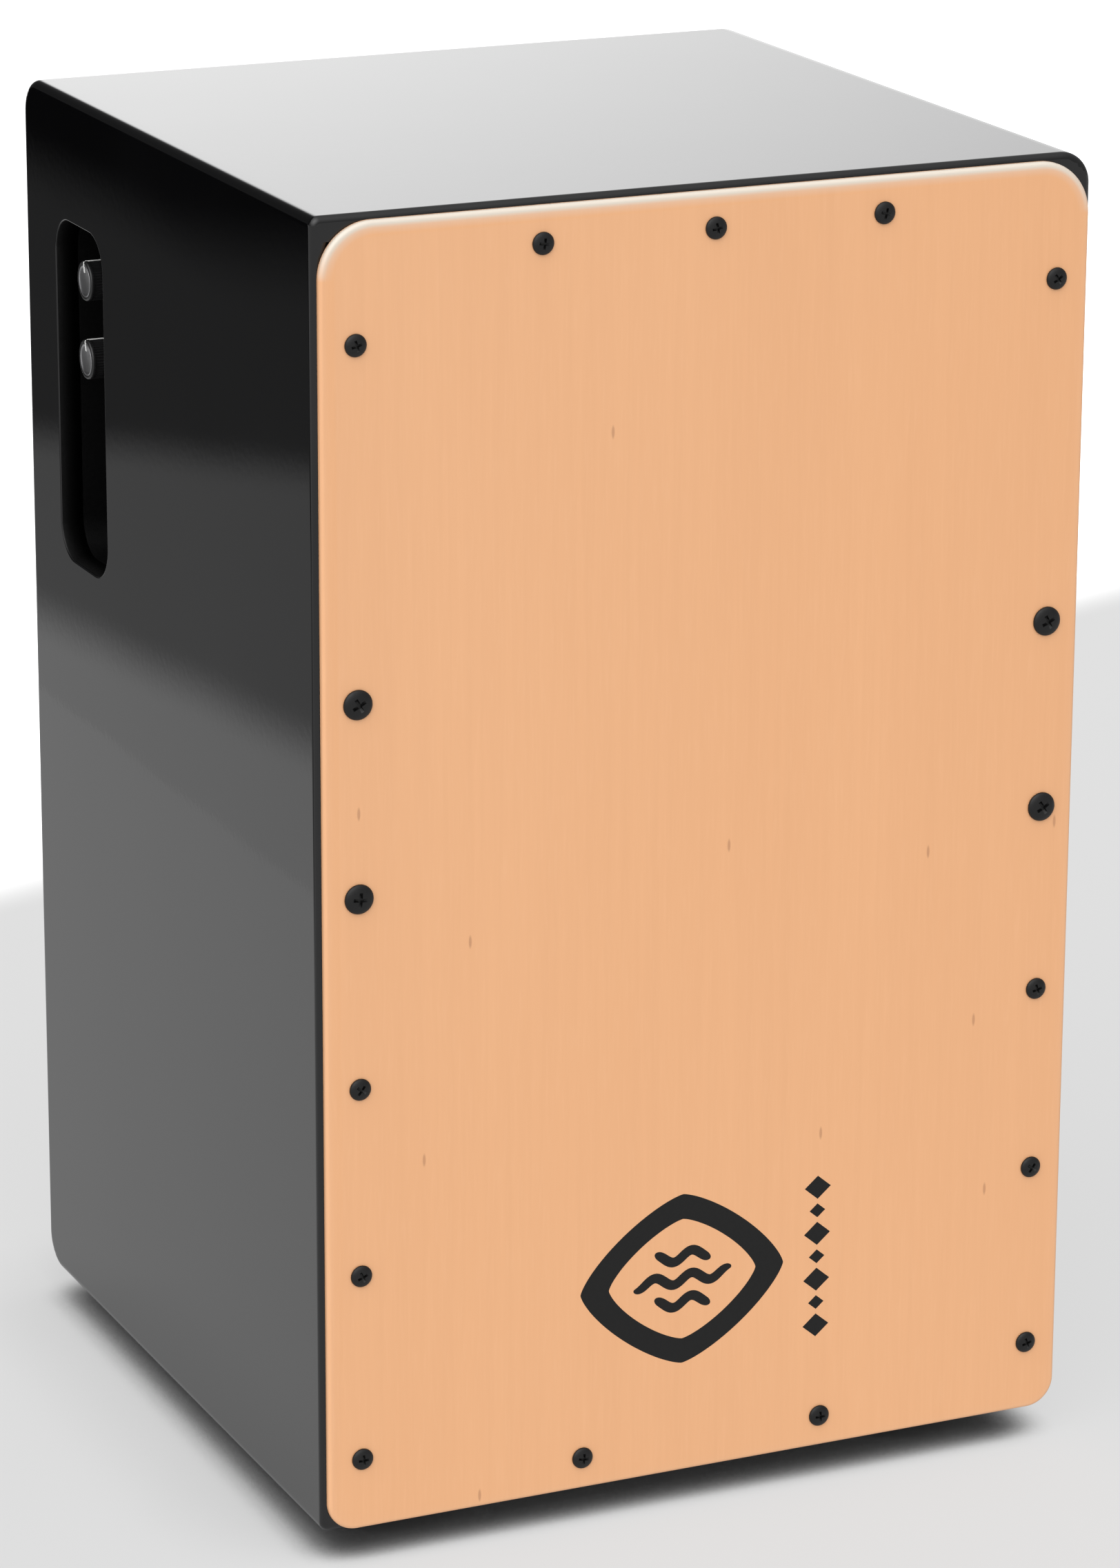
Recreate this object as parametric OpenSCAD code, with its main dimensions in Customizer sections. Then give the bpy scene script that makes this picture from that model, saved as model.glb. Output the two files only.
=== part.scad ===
// Box drum with a screwed-on playing face, snare wires, a piezo pickup and a
// recessed control pocket. Millimetres. +Z is up, the playing face looks along -Y,
// and the origin is the centre of the bounding box at the floor.

/* [Box] */
// Outside width, side to side
body_w = 304; // [302:2:320]
// Outside depth of the box, without the playing face
body_d = 295; // [280:5:310]
// Outside height of the box, without the feet
body_h = 488; // [470:2:510]
// Thickness of the five glued panels
wall_t = 9; // [8:0.5:11]
// Rounding of the left side's long edges, and of the upright rear edge there
left_edge_r = 3.5; // [2:0.5:7.5]
// Rounding of the right side's long edges, and of the upright rear edge there
right_edge_r = 12; // [3:0.5:13]
// Rounding of the two rear edges that run side to side
rear_edge_r = 14; // [8:1:18]
// Rounding of the edges around the playing face
front_edge_r = 2.5; // [1:0.5:4]
// Diameter of the sound hole in the rear panel
port_d = 110; // [90:5:130]
// Distance of the sound hole's centre below the top
port_drop = 170; // [150:5:240]

/* [Playing face] */
// Width of the thin playing face
plate_w = 300; // [288:1:300]
// Height of the thin playing face
plate_h = 485; // [468:1:486]
// Thickness of the playing face
plate_t = 3; // [2.5:0.5:4]
// Corner radius at its top
plate_top_r = 20; // [15:1:30]
// Corner radius at its bottom
plate_bottom_r = 11; // [8:1:25]
// Height of the face's lower edge above the box's lower edge
plate_lift = 0.8; // [0:0.2:1]

/* [Face screws] */
// Head diameter of the small screws
small_head_d = 8.2; // [7:0.2:9]
// Head diameter of the four large screws
large_head_d = 11; // [10:0.5:12]
// Height of every screw head
head_h = 2.2; // [1.8:0.1:2.6]
// Distance of the side columns from the face's upright edges
column_inset = 13; // [12:0.5:15]
// Pitch along the side columns
column_pitch = 71.5; // [70:0.5:72]
// Pitch along the top row
top_row_pitch = 66.5; // [55:0.5:75]
// Distance between the two bottom screws
bottom_row_gap = 98; // [80:2:120]

/* [Inside frame] */
// Width of the battens behind the playing face, seen from the front
batten_w = 18; // [16:1:22]
// Depth of the battens behind the playing face
batten_d = 20; // [20:1:24]
// Side of the square battens along the rear panel
rear_batten = 12; // [10:1:13]

/* [Control pocket] */
// Width of the slot in the left side, front to back
slot_w = 51.5; // [50:0.5:54]
// Height of the slot
slot_h = 133.5; // [130:0.5:140]
// Distance of the slot's upper end below the top
slot_drop = 48; // [46:1:60]
// Distance of the slot from the rear face
slot_from_rear = 34.5; // [34:0.5:40]
// Corner radius of the slot
slot_r = 14; // [10:1:16]
// Depth of the pocket's floor below the side's surface
pocket_depth = 20; // [18:0.5:22]
// Knob diameter
knob_d = 15.4; // [14:0.2:17]
// Knob length
knob_len = 13; // [11:0.5:13]
// Distance of the knob faces below the side's surface
knob_sink = 2; // [1.5:0.5:3]
// Distance of the volume knob below the slot's upper end
volume_drop = 21; // [20:0.5:24]
// Pitch between the two knobs
knob_pitch = 30.4; // [26:0.2:32]
// Distance of the jack above the slot's lower end
jack_rise = 26; // [24:1:34]

/* [Snare] */
// Distance of the snare bar's centre below the top
snare_bar_drop = 166; // [160:1:200]
// Height of the snare bar
snare_bar_h = 24; // [22:1:30]
// Number of wire strands in each set
strands = 10; // [6:1:12]
// Pitch between the strands
strand_pitch = 3.2; // [2.8:0.1:3.4]
// Free length of the strands above the bar
strand_len = 108; // [80:1:112]
// Distance of each set's centre from the middle
snare_x = 62; // [50:1:80]

/* [Feet] */
// Height of the rubber feet
foot_h = 12; // [10:0.5:14]
// Diameter of the feet at the box
foot_d = 30; // [26:1:34]
// Distance of the feet's centres from the box's sides
foot_inset = 45; // [40:1:60]

/* [Hidden] */
$fn = 64;
eps = 0.5;
running = 0.05;      // radial clearance of each turning shaft
snug = 0.02;         // radial clearance of fixed pieces in their holes
loose = 0.2;         // radial clearance of screws in the pieces they hold down
pilot_spare = 0.5;   // depth of a pilot hole past its screw's tip

// screws: head radius, head height, shank radius, length under the head
small_screw = [small_head_d / 2, head_h - 0.3, 1.75, 19];
large_screw = [large_head_d / 2, head_h, 2.25, 19];
mend_screw = [3, 1.6, 1.6, 12];
strip_screw = [2.6, 1.2, 1.4, 9];
tub_screw = [3, 1.8, 1.5, 9.5];
pocket_screw = [2.4, 1.3, 1.25, 5];
foot_screw = [4, 2.4, 2.2, 13];

// main planes
front_y = -(body_d - plate_t - head_h) / 2;
rear_y = front_y + body_d;
left_x = -body_w / 2;
bottom_z = foot_h;
top_z = foot_h + body_h;
inner_x = body_w / 2 - wall_t;
inner_bottom = bottom_z + wall_t;
inner_top = top_z - wall_t;
inner_rear = rear_y - wall_t;
past_y = [front_y - eps, rear_y + eps];
past_z = [bottom_z - eps, top_z + eps];
plate_z0 = bottom_z + plate_lift;
plate_z1 = plate_z0 + plate_h;

// places of the face screws, as x and z
column_x = plate_w / 2 - column_inset;
top_screw_z = plate_z1 - 13.2;
bottom_screw_z = plate_z0 + 12.4;
lowest_column_z = plate_z0 + 27.5;
highest_column_z = plate_z1 - 43;
small_spots = concat(
    [for (i = [-1:1]) [i * top_row_pitch, top_screw_z]],
    [for (s = [-1, 1]) [s * bottom_row_gap / 2, bottom_screw_z]],
    [for (s = [-1, 1]) [s * column_x, highest_column_z]],
    [for (s = [-1, 1], i = [0:2]) [s * column_x, lowest_column_z + i * column_pitch]]
);
large_spots = [for (s = [-1, 1], i = [3, 4]) [s * column_x, lowest_column_z + i * column_pitch]];

// sound hole
port_z = top_z - port_drop;

// control pocket
slot_y = rear_y - slot_from_rear - slot_w / 2;
slot_z = top_z - slot_drop - slot_h / 2;
slot_top = slot_z + slot_h / 2;
slot_bottom = slot_z - slot_h / 2;
tub_wall = 2;
tub_flange = 9;
tub_flange_t = 3;
ledge_t = 2;
ledge_w = 6.5;
control_plate_t = 2;
floor_x = left_x + pocket_depth;              // outer face of the control plate
plate_back_x = floor_x + control_plate_t;
tub_back_x = plate_back_x + ledge_t;
panel_back_x = left_x + wall_t;
tub_screw_y = slot_w / 2 + 5.4;
tub_screw_z = 44;
pocket_screw_y = slot_w / 2 - 7.5;
pocket_screw_z = slot_h / 2 - 5;
volume_z = slot_top - volume_drop;
tone_z = volume_z - knob_pitch;
jack_z = slot_bottom + jack_rise;

// potentiometers and knobs
knob_face_x = left_x + knob_sink;
knob_back_x = knob_face_x + knob_len;
shaft_r = 3;
bushing_r = 3.5;
bushing_out = 3.8;
pot_r = 8;
pot_len = 10;
shaft_in_pot = 6;
shaft_in_knob = 7;
shaft_end_gap = 0.3;
washer_t = 0.5;
pot_washer_r = 5.6;
pot_nut_d = 10;                               // across its flats
pot_nut_t = 2;
set_screw_r = 1.5;
set_screw_len = 4.2;
set_screw_in = 3.5;                           // from the knob's inner end
hex_socket_r = 0.8;
hex_socket_h = 1;
knob_rim = 0.8;
cap_r = 6.3;                                  // metal cap let into the knob's face
cap_t = 0.8;
line_len = 10;                                // pointer line along the knob's side
line_w = 0.9;
line_h = 0.35;

// output jack
jack_bushing_r = 4.5;
jack_bore_r = 3.25;
jack_side = 16;
jack_len = 28;
jack_out = 4.2;
jack_end_t = 2;
jack_washer_r = 7;
jack_nut_d = 12;                              // across its flats
jack_nut_t = 2.6;

// wires between the controls
wire_r = 0.7;
wire_gap = 3;

// snare
snare_bar_z = top_z - snare_bar_drop;
snare_bar_top = snare_bar_z + snare_bar_h / 2;
strand_r = 1.1;
strand_gap = 0.5;                             // between the strands and the playing face
sheet_t = 0.8;
strand_y = front_y + strand_gap + strand_r;
sheet_y = strand_y + strand_r;
bar_y = sheet_y + sheet_t;
strip_w = strands * strand_pitch + 2;
strand_overlap = 6;
tip_sheet_h = 7;
base_sheet_h = 15;
mend_len = 48;
mend_h = 16;
mend_t = 1.5;
mend_spots = [8, 28, 40];
mend_x = inner_x - 2;
mend_corner_r = 3;
strip_screw_x = strip_w / 2 - 5;
strip_screw_z = snare_bar_top - base_sheet_h + 4;

// pickup
piezo_x = -50;
piezo_z = 262;
piezo_r = 13.5;
pad_t = 2;
brass_t = 0.4;
ceramic_t = 0.3;
ceramic_r = 9;
lead_r = 1.25;
lead_gap = 0.1;
wall_run_x = panel_back_x + lead_r + lead_gap; // the lead lies against the left side
wall_run_z = 275;
clip_spots = [front_y + 71, front_y + 118];
clip_w = 6;
clip_half_h = 7.5;
clip_t = 1.4;
clip_ear_h = 5.2;
nail_z = 5;                                   // of each nail above or below the lead
nail_r = 0.7;
nail_head_r = 1.4;
nail_head_h = 0.8;
nail_len = 6;
lead_end_y = slot_y - pot_r;
lead_end_x = plate_back_x + pot_len / 2;

// feet
foot_y = [front_y + foot_inset, rear_y - foot_inset];
foot_x = body_w / 2 - foot_inset;
foot_recess_r = 7.5;
foot_recess_h = 7;
foot_taper = 4;
foot_washer_t = 1;

// points that the pickup lead follows, from the piezo disc to the volume control
lead_route = [
    [piezo_x - 6, front_y + 4, piezo_z],
    [piezo_x - 16, front_y + 5, piezo_z],
    [piezo_x - 27, front_y + 9, piezo_z + 1],
    [piezo_x - 38, front_y + 15, piezo_z + 2],
    [piezo_x - 50, front_y + 21, piezo_z + 3],
    [piezo_x - 62, front_y + 25, piezo_z + 4],
    [piezo_x - 74, front_y + 29, piezo_z + 6],
    [piezo_x - 84, front_y + 36, piezo_z + 9],
    [wall_run_x + 1, front_y + 46, wall_run_z - 1],
    [wall_run_x, front_y + 57, wall_run_z],
    [wall_run_x, front_y + 66, wall_run_z],
    [wall_run_x, front_y + 76, wall_run_z],
    [wall_run_x, front_y + 88, wall_run_z],
    [wall_run_x, front_y + 100, wall_run_z],
    [wall_run_x, front_y + 112, wall_run_z],
    [wall_run_x, front_y + 124, wall_run_z],
    [wall_run_x, front_y + 134, wall_run_z],
    [wall_run_x, front_y + 144, wall_run_z + 7],
    [wall_run_x, front_y + 154, wall_run_z + 24],
    [wall_run_x, front_y + 162, wall_run_z + 44],
    [wall_run_x + 1, front_y + 168, wall_run_z + 66],
    [wall_run_x + 4, front_y + 174, wall_run_z + 88],
    [wall_run_x + 8, front_y + 181, wall_run_z + 108],
    [wall_run_x + 12, front_y + 190, wall_run_z + 126],
    [lead_end_x - 1, front_y + 202, wall_run_z + 142],
    [lead_end_x, lead_end_y - 14, volume_z - 6],
    [lead_end_x, lead_end_y - 6, volume_z - 1],
    [lead_end_x, lead_end_y, volume_z]
];

// ---------- shared shapes ----------

// rectangle centred on the origin; r lists its corner radii, anticlockwise from the lower left
module rounded(w, h, r) {
    signs = [[-1, -1], [1, -1], [1, 1], [-1, 1]];
    difference() {
        square([w, h], center = true);
        for (i = [0:3]) {
            sx = signs[i][0];
            sy = signs[i][1];
            translate([sx * (w / 2 - r[i]), sy * (h / 2 - r[i])]) difference() {
                translate([sx * (r[i] + eps) / 2, sy * (r[i] + eps) / 2])
                    square(r[i] + eps, center = true);
                circle(r = r[i]);
            }
        }
    }
}

// rectangle with four equal corner radii
module even_rounded(w, h, r) {
    rounded(w, h, [r, r, r, r]);
}

// a block between two values on each axis
module block(x, y, z) {
    translate([x[0], y[0], z[0]]) cube([x[1] - x[0], y[1] - y[0], z[1] - z[0]]);
}

// the outside of the whole box as one solid: its outlines from the front, the side and above
module envelope() {
    mid_y = (front_y + rear_y) / 2;
    mid_z = (bottom_z + top_z) / 2;
    from_side = [front_edge_r, rear_edge_r, rear_edge_r, front_edge_r];
    from_above = [front_edge_r, front_edge_r, right_edge_r, left_edge_r];
    from_front = [left_edge_r, right_edge_r, right_edge_r, left_edge_r];
    intersection() {
        translate([0, rear_y, mid_z]) rotate([90, 0, 0])
            linear_extrude(body_d) rounded(body_w, body_h, from_front);
        translate([left_x, mid_y, mid_z]) rotate([90, 0, 90])
            linear_extrude(body_w) rounded(body_d, body_h, from_side);
        translate([0, mid_y, bottom_z])
            linear_extrude(body_h) rounded(body_w, body_d, from_above);
    }
}

// children on the playing face: x across, y up, z out of the front
module on_front(x, y, z) {
    translate([x, y, z]) rotate([90, 0, 0]) children();
}

// children that look out of the left side: x up, y to the rear, z out of the side
module facing_left(x, y, z) {
    translate([x, y, z]) rotate([0, -90, 0]) children();
}

// children that hang under the box: z down
module facing_down(x, y, z) {
    translate([x, y, z]) rotate([180, 0, 0]) children();
}

// wood or machine screw standing on z = 0 with its head above and its shank below
module screw(size) {
    head_r = size[0];
    height = size[1];
    shank_r = size[2];
    length = size[3];
    tip_h = shank_r * 2;
    dome_r = (head_r * head_r + height * height) / (2 * height);
    difference() {
        union() {
            intersection() {
                cylinder(r = head_r, h = height);
                translate([0, 0, height - dome_r]) sphere(r = dome_r, $fn = 96);
            }
            translate([0, 0, tip_h - length]) cylinder(r = shank_r, h = length - tip_h);
            translate([0, 0, -length]) cylinder(r1 = 0.3, r2 = shank_r, h = tip_h, $fn = 24);
        }
        cross_recess(head_r / 2, height);
    }
}

// the hole that takes a screw standing in the same place, wider than its shank by gap
module hole(size, gap) {
    depth = size[3] + pilot_spare;
    translate([0, 0, -depth]) cylinder(r = size[2] + gap, h = depth + eps);
}

// round washer, or with $fn = 6 a hexagonal nut
module ring(outer_r, inner_r, height) {
    difference() {
        cylinder(r = outer_r, h = height);
        translate([0, 0, -eps]) cylinder(r = inner_r, h = height + 2 * eps, $fn = 64);
    }
}

// cross recess cut down from the top of a head
module cross_recess(half_width, height) {
    for (a = [0, 90])
        rotate(a) translate([0, 0, height]) cube([half_width * 2, half_width * 0.42, height], center = true);
}

// ---------- where the screws stand ----------

module at_small_spots() {
    for (p = small_spots) on_front(p[0], front_y - plate_t, p[1]) children();
}

module at_large_spots() {
    for (p = large_spots) on_front(p[0], front_y - plate_t, p[1]) children();
}

// on the mending plates, heads to the rear
module at_mend_spots() {
    for (side = [-1, 1], d = mend_spots)
        translate([side * (mend_x - d), front_y + batten_d + mend_t, snare_bar_z]) rotate([-90, 0, 0])
            children();
}

module at_strip_spots() {
    for (side = [-1, 1], s = [-1, 1])
        on_front(side * snare_x + s * strip_screw_x, sheet_y, strip_screw_z) children();
}

// on the tub's flange, heads to the inside of the box
module at_tub_spots() {
    for (sy = [-1, 1], sz = [-1, 1])
        translate([panel_back_x + tub_flange_t, slot_y + sy * tub_screw_y, slot_z + sz * tub_screw_z])
            rotate([0, 90, 0]) children();
}

module at_pocket_spots() {
    for (sy = [-1, 1], sz = [-1, 1])
        facing_left(floor_x, slot_y + sy * pocket_screw_y, slot_z + sz * pocket_screw_z) children();
}

// on the clips, nail heads to the inside of the box
module at_nail_spots() {
    for (y = clip_spots, side = [-1, 1])
        facing_left(panel_back_x + clip_t, y, wall_run_z + side * nail_z) children();
}

// on the washers in the feet, heads down
module at_foot_spots() {
    for (x = [-foot_x, foot_x], y = foot_y) facing_down(x, y, foot_recess_h - foot_washer_t) children();
}

// ---------- the glued box ----------

module left_side_panel() {
    color("#141414") difference() {
        intersection() {
            envelope();
            block([left_x - eps, panel_back_x], past_y, past_z);
        }
        facing_left(panel_back_x + eps, slot_y, slot_z)
            linear_extrude(wall_t + 2 * eps) even_rounded(slot_h, slot_w, slot_r);
        at_tub_spots() hole(tub_screw, snug);
        at_nail_spots() cylinder(r = nail_r + snug, h = nail_len + pilot_spare);
    }
}

module right_side_panel() {
    color("#141414") intersection() {
        envelope();
        block([inner_x, -left_x + eps], past_y, past_z);
    }
}

module top_panel() {
    color("#1c1c1c") intersection() {
        envelope();
        block([-inner_x, inner_x], past_y, [inner_top, past_z[1]]);
    }
}

module bottom_panel() {
    color("#1c1c1c") difference() {
        intersection() {
            envelope();
            block([-inner_x, inner_x], past_y, [past_z[0], inner_bottom]);
        }
        at_foot_spots() hole(foot_screw, snug);
    }
}

module rear_panel() {
    color("#181818") difference() {
        intersection() {
            envelope();
            block([-inner_x, inner_x], [inner_rear, past_y[1]], [inner_bottom, inner_top]);
        }
        on_front(0, rear_y + eps, port_z) cylinder(d = port_d, h = wall_t + 2 * eps, $fn = 128);
    }
}

// ---------- the playing face ----------

module front_plate() {
    color("#ebb287") difference() {
        on_front(0, front_y, (plate_z0 + plate_z1) / 2) linear_extrude(plate_t)
            rounded(plate_w, plate_h, [plate_bottom_r, plate_bottom_r, plate_top_r, plate_top_r]);
        face_holes(loose);
    }
}

module plate_screws() {
    color("#101010") at_small_spots() screw(small_screw);
}

module plate_screws_large() {
    color("#101010") at_large_spots() screw(large_screw);
}

// holes of the face screws, through the face and into the battens
module face_holes(gap) {
    at_small_spots() hole(small_screw, gap);
    at_large_spots() hole(large_screw, gap);
}

// ---------- battens ----------

// upright batten behind the face; side is -1 for left and 1 for right
module front_upright(side) {
    x = side * (inner_x - batten_w / 2);
    color("#d9b98a") difference() {
        block([x - batten_w / 2, x + batten_w / 2], [front_y, front_y + batten_d], [inner_bottom, inner_top]);
        face_holes(snug);
        at_mend_spots() hole(mend_screw, snug);
    }
}

module front_batten_left() {
    front_upright(-1);
}

module front_batten_right() {
    front_upright(1);
}

// cross batten behind the face between two heights
module front_cross(z) {
    color("#d9b98a") difference() {
        block([batten_w - inner_x, inner_x - batten_w], [front_y, front_y + batten_d], z);
        face_holes(snug);
    }
}

module front_batten_top() {
    front_cross([inner_top - batten_w, inner_top]);
}

module front_batten_bottom() {
    front_cross([inner_bottom, inner_bottom + batten_w]);
}

module rear_upright(side) {
    x = side * (inner_x - rear_batten / 2);
    y = [inner_rear - rear_batten, inner_rear];
    color("#d9b98a") block([x - rear_batten / 2, x + rear_batten / 2], y, [inner_bottom, inner_top]);
}

module rear_batten_left() {
    rear_upright(-1);
}

module rear_batten_right() {
    rear_upright(1);
}

module rear_cross(z) {
    color("#d9b98a")
        block([rear_batten - inner_x, inner_x - rear_batten], [inner_rear - rear_batten, inner_rear], z);
}

module rear_batten_top() {
    rear_cross([inner_top - rear_batten, inner_top]);
}

module rear_batten_bottom() {
    rear_cross([inner_bottom, inner_bottom + rear_batten]);
}

// ---------- snare ----------

module snare_bar() {
    half = inner_x - batten_w;
    z = [snare_bar_z - snare_bar_h / 2, snare_bar_z + snare_bar_h / 2];
    color("#cfae7d") difference() {
        block([-half, half], [bar_y, front_y + batten_d], z);
        at_mend_spots() hole(mend_screw, snug);
        at_strip_spots() hole(strip_screw, snug);
    }
}

module snare_mending_plates() {
    color("#b9bcc0") for (side = [-1, 1]) difference() {
        on_front(side * (mend_x - mend_len / 2), front_y + batten_d + mend_t, snare_bar_z)
            linear_extrude(mend_t) even_rounded(mend_len, mend_h, mend_corner_r);
        at_mend_spots() hole(mend_screw, loose);
    }
}

module mending_plate_screws() {
    color("#c8a24a") at_mend_spots() screw(mend_screw);
}

// one set of strands in front of the bar
module snare_wires(side) {
    first_x = side * snare_x - (strands - 1) / 2 * strand_pitch;
    color("#c4c7cb") for (i = [0 : strands - 1])
        translate([first_x + i * strand_pitch, strand_y, snare_bar_top - strand_overlap])
            cylinder(r = strand_r, h = strand_len, $fn = 16);
}

module snare_wires_left() {
    snare_wires(-1);
}

module snare_wires_right() {
    snare_wires(1);
}

module snare_base_strip(side) {
    color("#b9bcc0") difference() {
        block([side * snare_x - strip_w / 2, side * snare_x + strip_w / 2], [sheet_y, bar_y],
            [snare_bar_top - base_sheet_h, snare_bar_top - 0.5]);
        at_strip_spots() hole(strip_screw, snug);
    }
}

module snare_base_strip_left() {
    snare_base_strip(-1);
}

module snare_base_strip_right() {
    snare_base_strip(1);
}

module snare_tip_strip(side) {
    tip_z = snare_bar_top - strand_overlap + strand_len;
    color("#b9bcc0") block([side * snare_x - strip_w / 2, side * snare_x + strip_w / 2],
        [sheet_y, bar_y], [tip_z - tip_sheet_h, tip_z + 1]);
}

module snare_tip_strip_left() {
    snare_tip_strip(-1);
}

module snare_tip_strip_right() {
    snare_tip_strip(1);
}

module snare_strip_screws() {
    color("#c8a24a") at_strip_spots() screw(strip_screw);
}

// ---------- control pocket ----------

module control_box() {
    color("#1a1a1a") difference() {
        union() {
            facing_left(panel_back_x + tub_flange_t, slot_y, slot_z) linear_extrude(tub_flange_t)
                even_rounded(slot_h + 2 * tub_flange, slot_w + 2 * tub_flange, slot_r + tub_flange);
            facing_left(tub_back_x, slot_y, slot_z) linear_extrude(tub_back_x - panel_back_x)
                even_rounded(slot_h + 2 * tub_wall, slot_w + 2 * tub_wall, slot_r + tub_wall);
        }
        facing_left(plate_back_x, slot_y, slot_z) linear_extrude(plate_back_x - panel_back_x + eps)
            even_rounded(slot_h, slot_w, slot_r);
        facing_left(tub_back_x + eps, slot_y, slot_z) linear_extrude(ledge_t + 2 * eps)
            even_rounded(slot_h - 2 * ledge_w, slot_w - 2 * ledge_w, slot_r - ledge_w);
        at_tub_spots() hole(tub_screw, loose);
        at_pocket_spots() hole(pocket_screw, snug);
    }
}

module control_box_screws() {
    color("#c8a24a") at_tub_spots() screw(tub_screw);
}

module control_plate() {
    color("#1e1e1e") difference() {
        facing_left(plate_back_x, slot_y, slot_z) linear_extrude(control_plate_t)
            even_rounded(slot_h - 2 * loose, slot_w - 2 * loose, slot_r - loose);
        for (z = [volume_z, tone_z])
            facing_left(plate_back_x + eps, slot_y, z)
                cylinder(r = bushing_r + loose, h = control_plate_t + 2 * eps);
        facing_left(plate_back_x + eps, slot_y, jack_z)
            cylinder(r = jack_bushing_r + loose, h = control_plate_t + 2 * eps);
        at_pocket_spots() hole(pocket_screw, loose);
    }
}

module control_plate_screws() {
    color("#2a2a2a") at_pocket_spots() screw(pocket_screw);
}

// potentiometer body with its threaded bushing, bored for the shaft
module pot(z) {
    color("#9a9da1") difference() {
        union() {
            facing_left(plate_back_x + pot_len, slot_y, z) cylinder(r = pot_r, h = pot_len);
            facing_left(plate_back_x, slot_y, z) cylinder(r = bushing_r, h = control_plate_t + bushing_out);
        }
        facing_left(plate_back_x + shaft_in_pot, slot_y, z)
            cylinder(r = shaft_r + running, h = shaft_in_pot + control_plate_t + bushing_out + eps);
    }
}

module volume_pot() {
    pot(volume_z);
}

module tone_pot() {
    pot(tone_z);
}

module shaft(z) {
    end_x = plate_back_x + shaft_in_pot - shaft_end_gap;
    color("#d0d2d4") facing_left(end_x, slot_y, z)
        cylinder(r = shaft_r, h = end_x - knob_back_x + shaft_in_knob);
}

module volume_shaft() {
    shaft(volume_z);
}

module tone_shaft() {
    shaft(tone_z);
}

// knob with a seat for its cap, a pointer line cut in its top, a shaft bore and a set screw hole
module knob(z) {
    r = knob_d / 2;
    color("#1c1c1c") difference() {
        facing_left(knob_back_x, slot_y, z) rotate_extrude($fn = 96) union() {
            square([r, knob_len - knob_rim]);
            square([r - knob_rim, knob_len]);
            translate([r - knob_rim, knob_len - knob_rim]) intersection() {
                circle(r = knob_rim, $fn = 32);
                square(knob_rim);
            }
        }
        facing_left(knob_back_x + eps, slot_y, z)
            cylinder(r = shaft_r + snug, h = shaft_in_knob + shaft_end_gap + eps);
        facing_left(knob_face_x + cap_t, slot_y, z) cylinder(r = cap_r + snug, h = cap_t + eps);
        facing_left(knob_face_x + line_len, slot_y, z)
            block([r - line_h, r + eps], [-line_w / 2, line_w / 2], [0, line_len + eps]);
        facing_left(knob_face_x + line_h, slot_y, z)
            block([cap_r, r], [-line_w / 2, line_w / 2], [0, line_h + eps]);
        translate([knob_back_x - set_screw_in, slot_y, z]) rotate([0, 180, 0])
            cylinder(r = set_screw_r + snug, h = r + eps);
    }
}

module volume_knob() {
    knob(volume_z);
}

module tone_knob() {
    knob(tone_z);
}

module knob_cap(z) {
    color("#a8abae") facing_left(knob_face_x + cap_t, slot_y, z) cylinder(r = cap_r, h = cap_t);
}

module volume_knob_cap() {
    knob_cap(volume_z);
}

module tone_knob_cap() {
    knob_cap(tone_z);
}

module set_screw(z) {
    start = shaft_r + snug;
    color("#3a3a3a") translate([knob_back_x - set_screw_in, slot_y, z - start]) rotate([0, 180, 0])
        difference() {
            cylinder(r = set_screw_r, h = set_screw_len);
            translate([0, 0, set_screw_len - hex_socket_h])
                cylinder(r = hex_socket_r, h = hex_socket_h + eps, $fn = 6);
        }
}

module volume_set_screw() {
    set_screw(volume_z);
}

module tone_set_screw() {
    set_screw(tone_z);
}

module pot_washers() {
    color("#b9bcc0") for (z = [volume_z, tone_z])
        facing_left(floor_x, slot_y, z) ring(pot_washer_r, bushing_r + snug, washer_t);
}

module pot_nuts() {
    color("#b9bcc0") for (z = [volume_z, tone_z])
        facing_left(floor_x - washer_t, slot_y, z)
            ring(pot_nut_d / 2 / cos(30), bushing_r + snug, pot_nut_t, $fn = 6);
}

module output_jack() {
    color("#262626") difference() {
        union() {
            block([plate_back_x, plate_back_x + jack_len], [slot_y - jack_side / 2, slot_y + jack_side / 2],
                [jack_z - jack_side / 2, jack_z + jack_side / 2]);
            facing_left(plate_back_x, slot_y, jack_z)
                cylinder(r = jack_bushing_r, h = control_plate_t + jack_out);
        }
        facing_left(plate_back_x + jack_len - jack_end_t, slot_y, jack_z)
            cylinder(r = jack_bore_r, h = jack_len - jack_end_t + control_plate_t + jack_out + eps);
    }
}

module jack_washer() {
    color("#b9bcc0") facing_left(floor_x, slot_y, jack_z)
        ring(jack_washer_r, jack_bushing_r + snug, washer_t);
}

module jack_nut() {
    color("#b9bcc0") facing_left(floor_x - washer_t, slot_y, jack_z)
        ring(jack_nut_d / 2 / cos(30), jack_bushing_r + snug, jack_nut_t, $fn = 6);
}

// the two pairs of straight wires between the volume control, the tone control and the jack
module control_wires() {
    jack_top = jack_z + jack_side / 2;
    color("#8c1c1c") for (s = [-1, 1]) translate([plate_back_x + pot_len / 2 + s * wire_gap / 2, slot_y, 0]) {
        translate([0, 0, tone_z + pot_r]) cylinder(r = wire_r, h = knob_pitch - 2 * pot_r, $fn = 16);
        translate([0, 0, jack_top]) cylinder(r = wire_r, h = tone_z - pot_r - jack_top, $fn = 16);
    }
}

// ---------- pickup ----------

module piezo_pad() {
    color("#4a4a4a") on_front(piezo_x, front_y + pad_t, piezo_z) cylinder(r = piezo_r + 1, h = pad_t);
}

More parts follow.
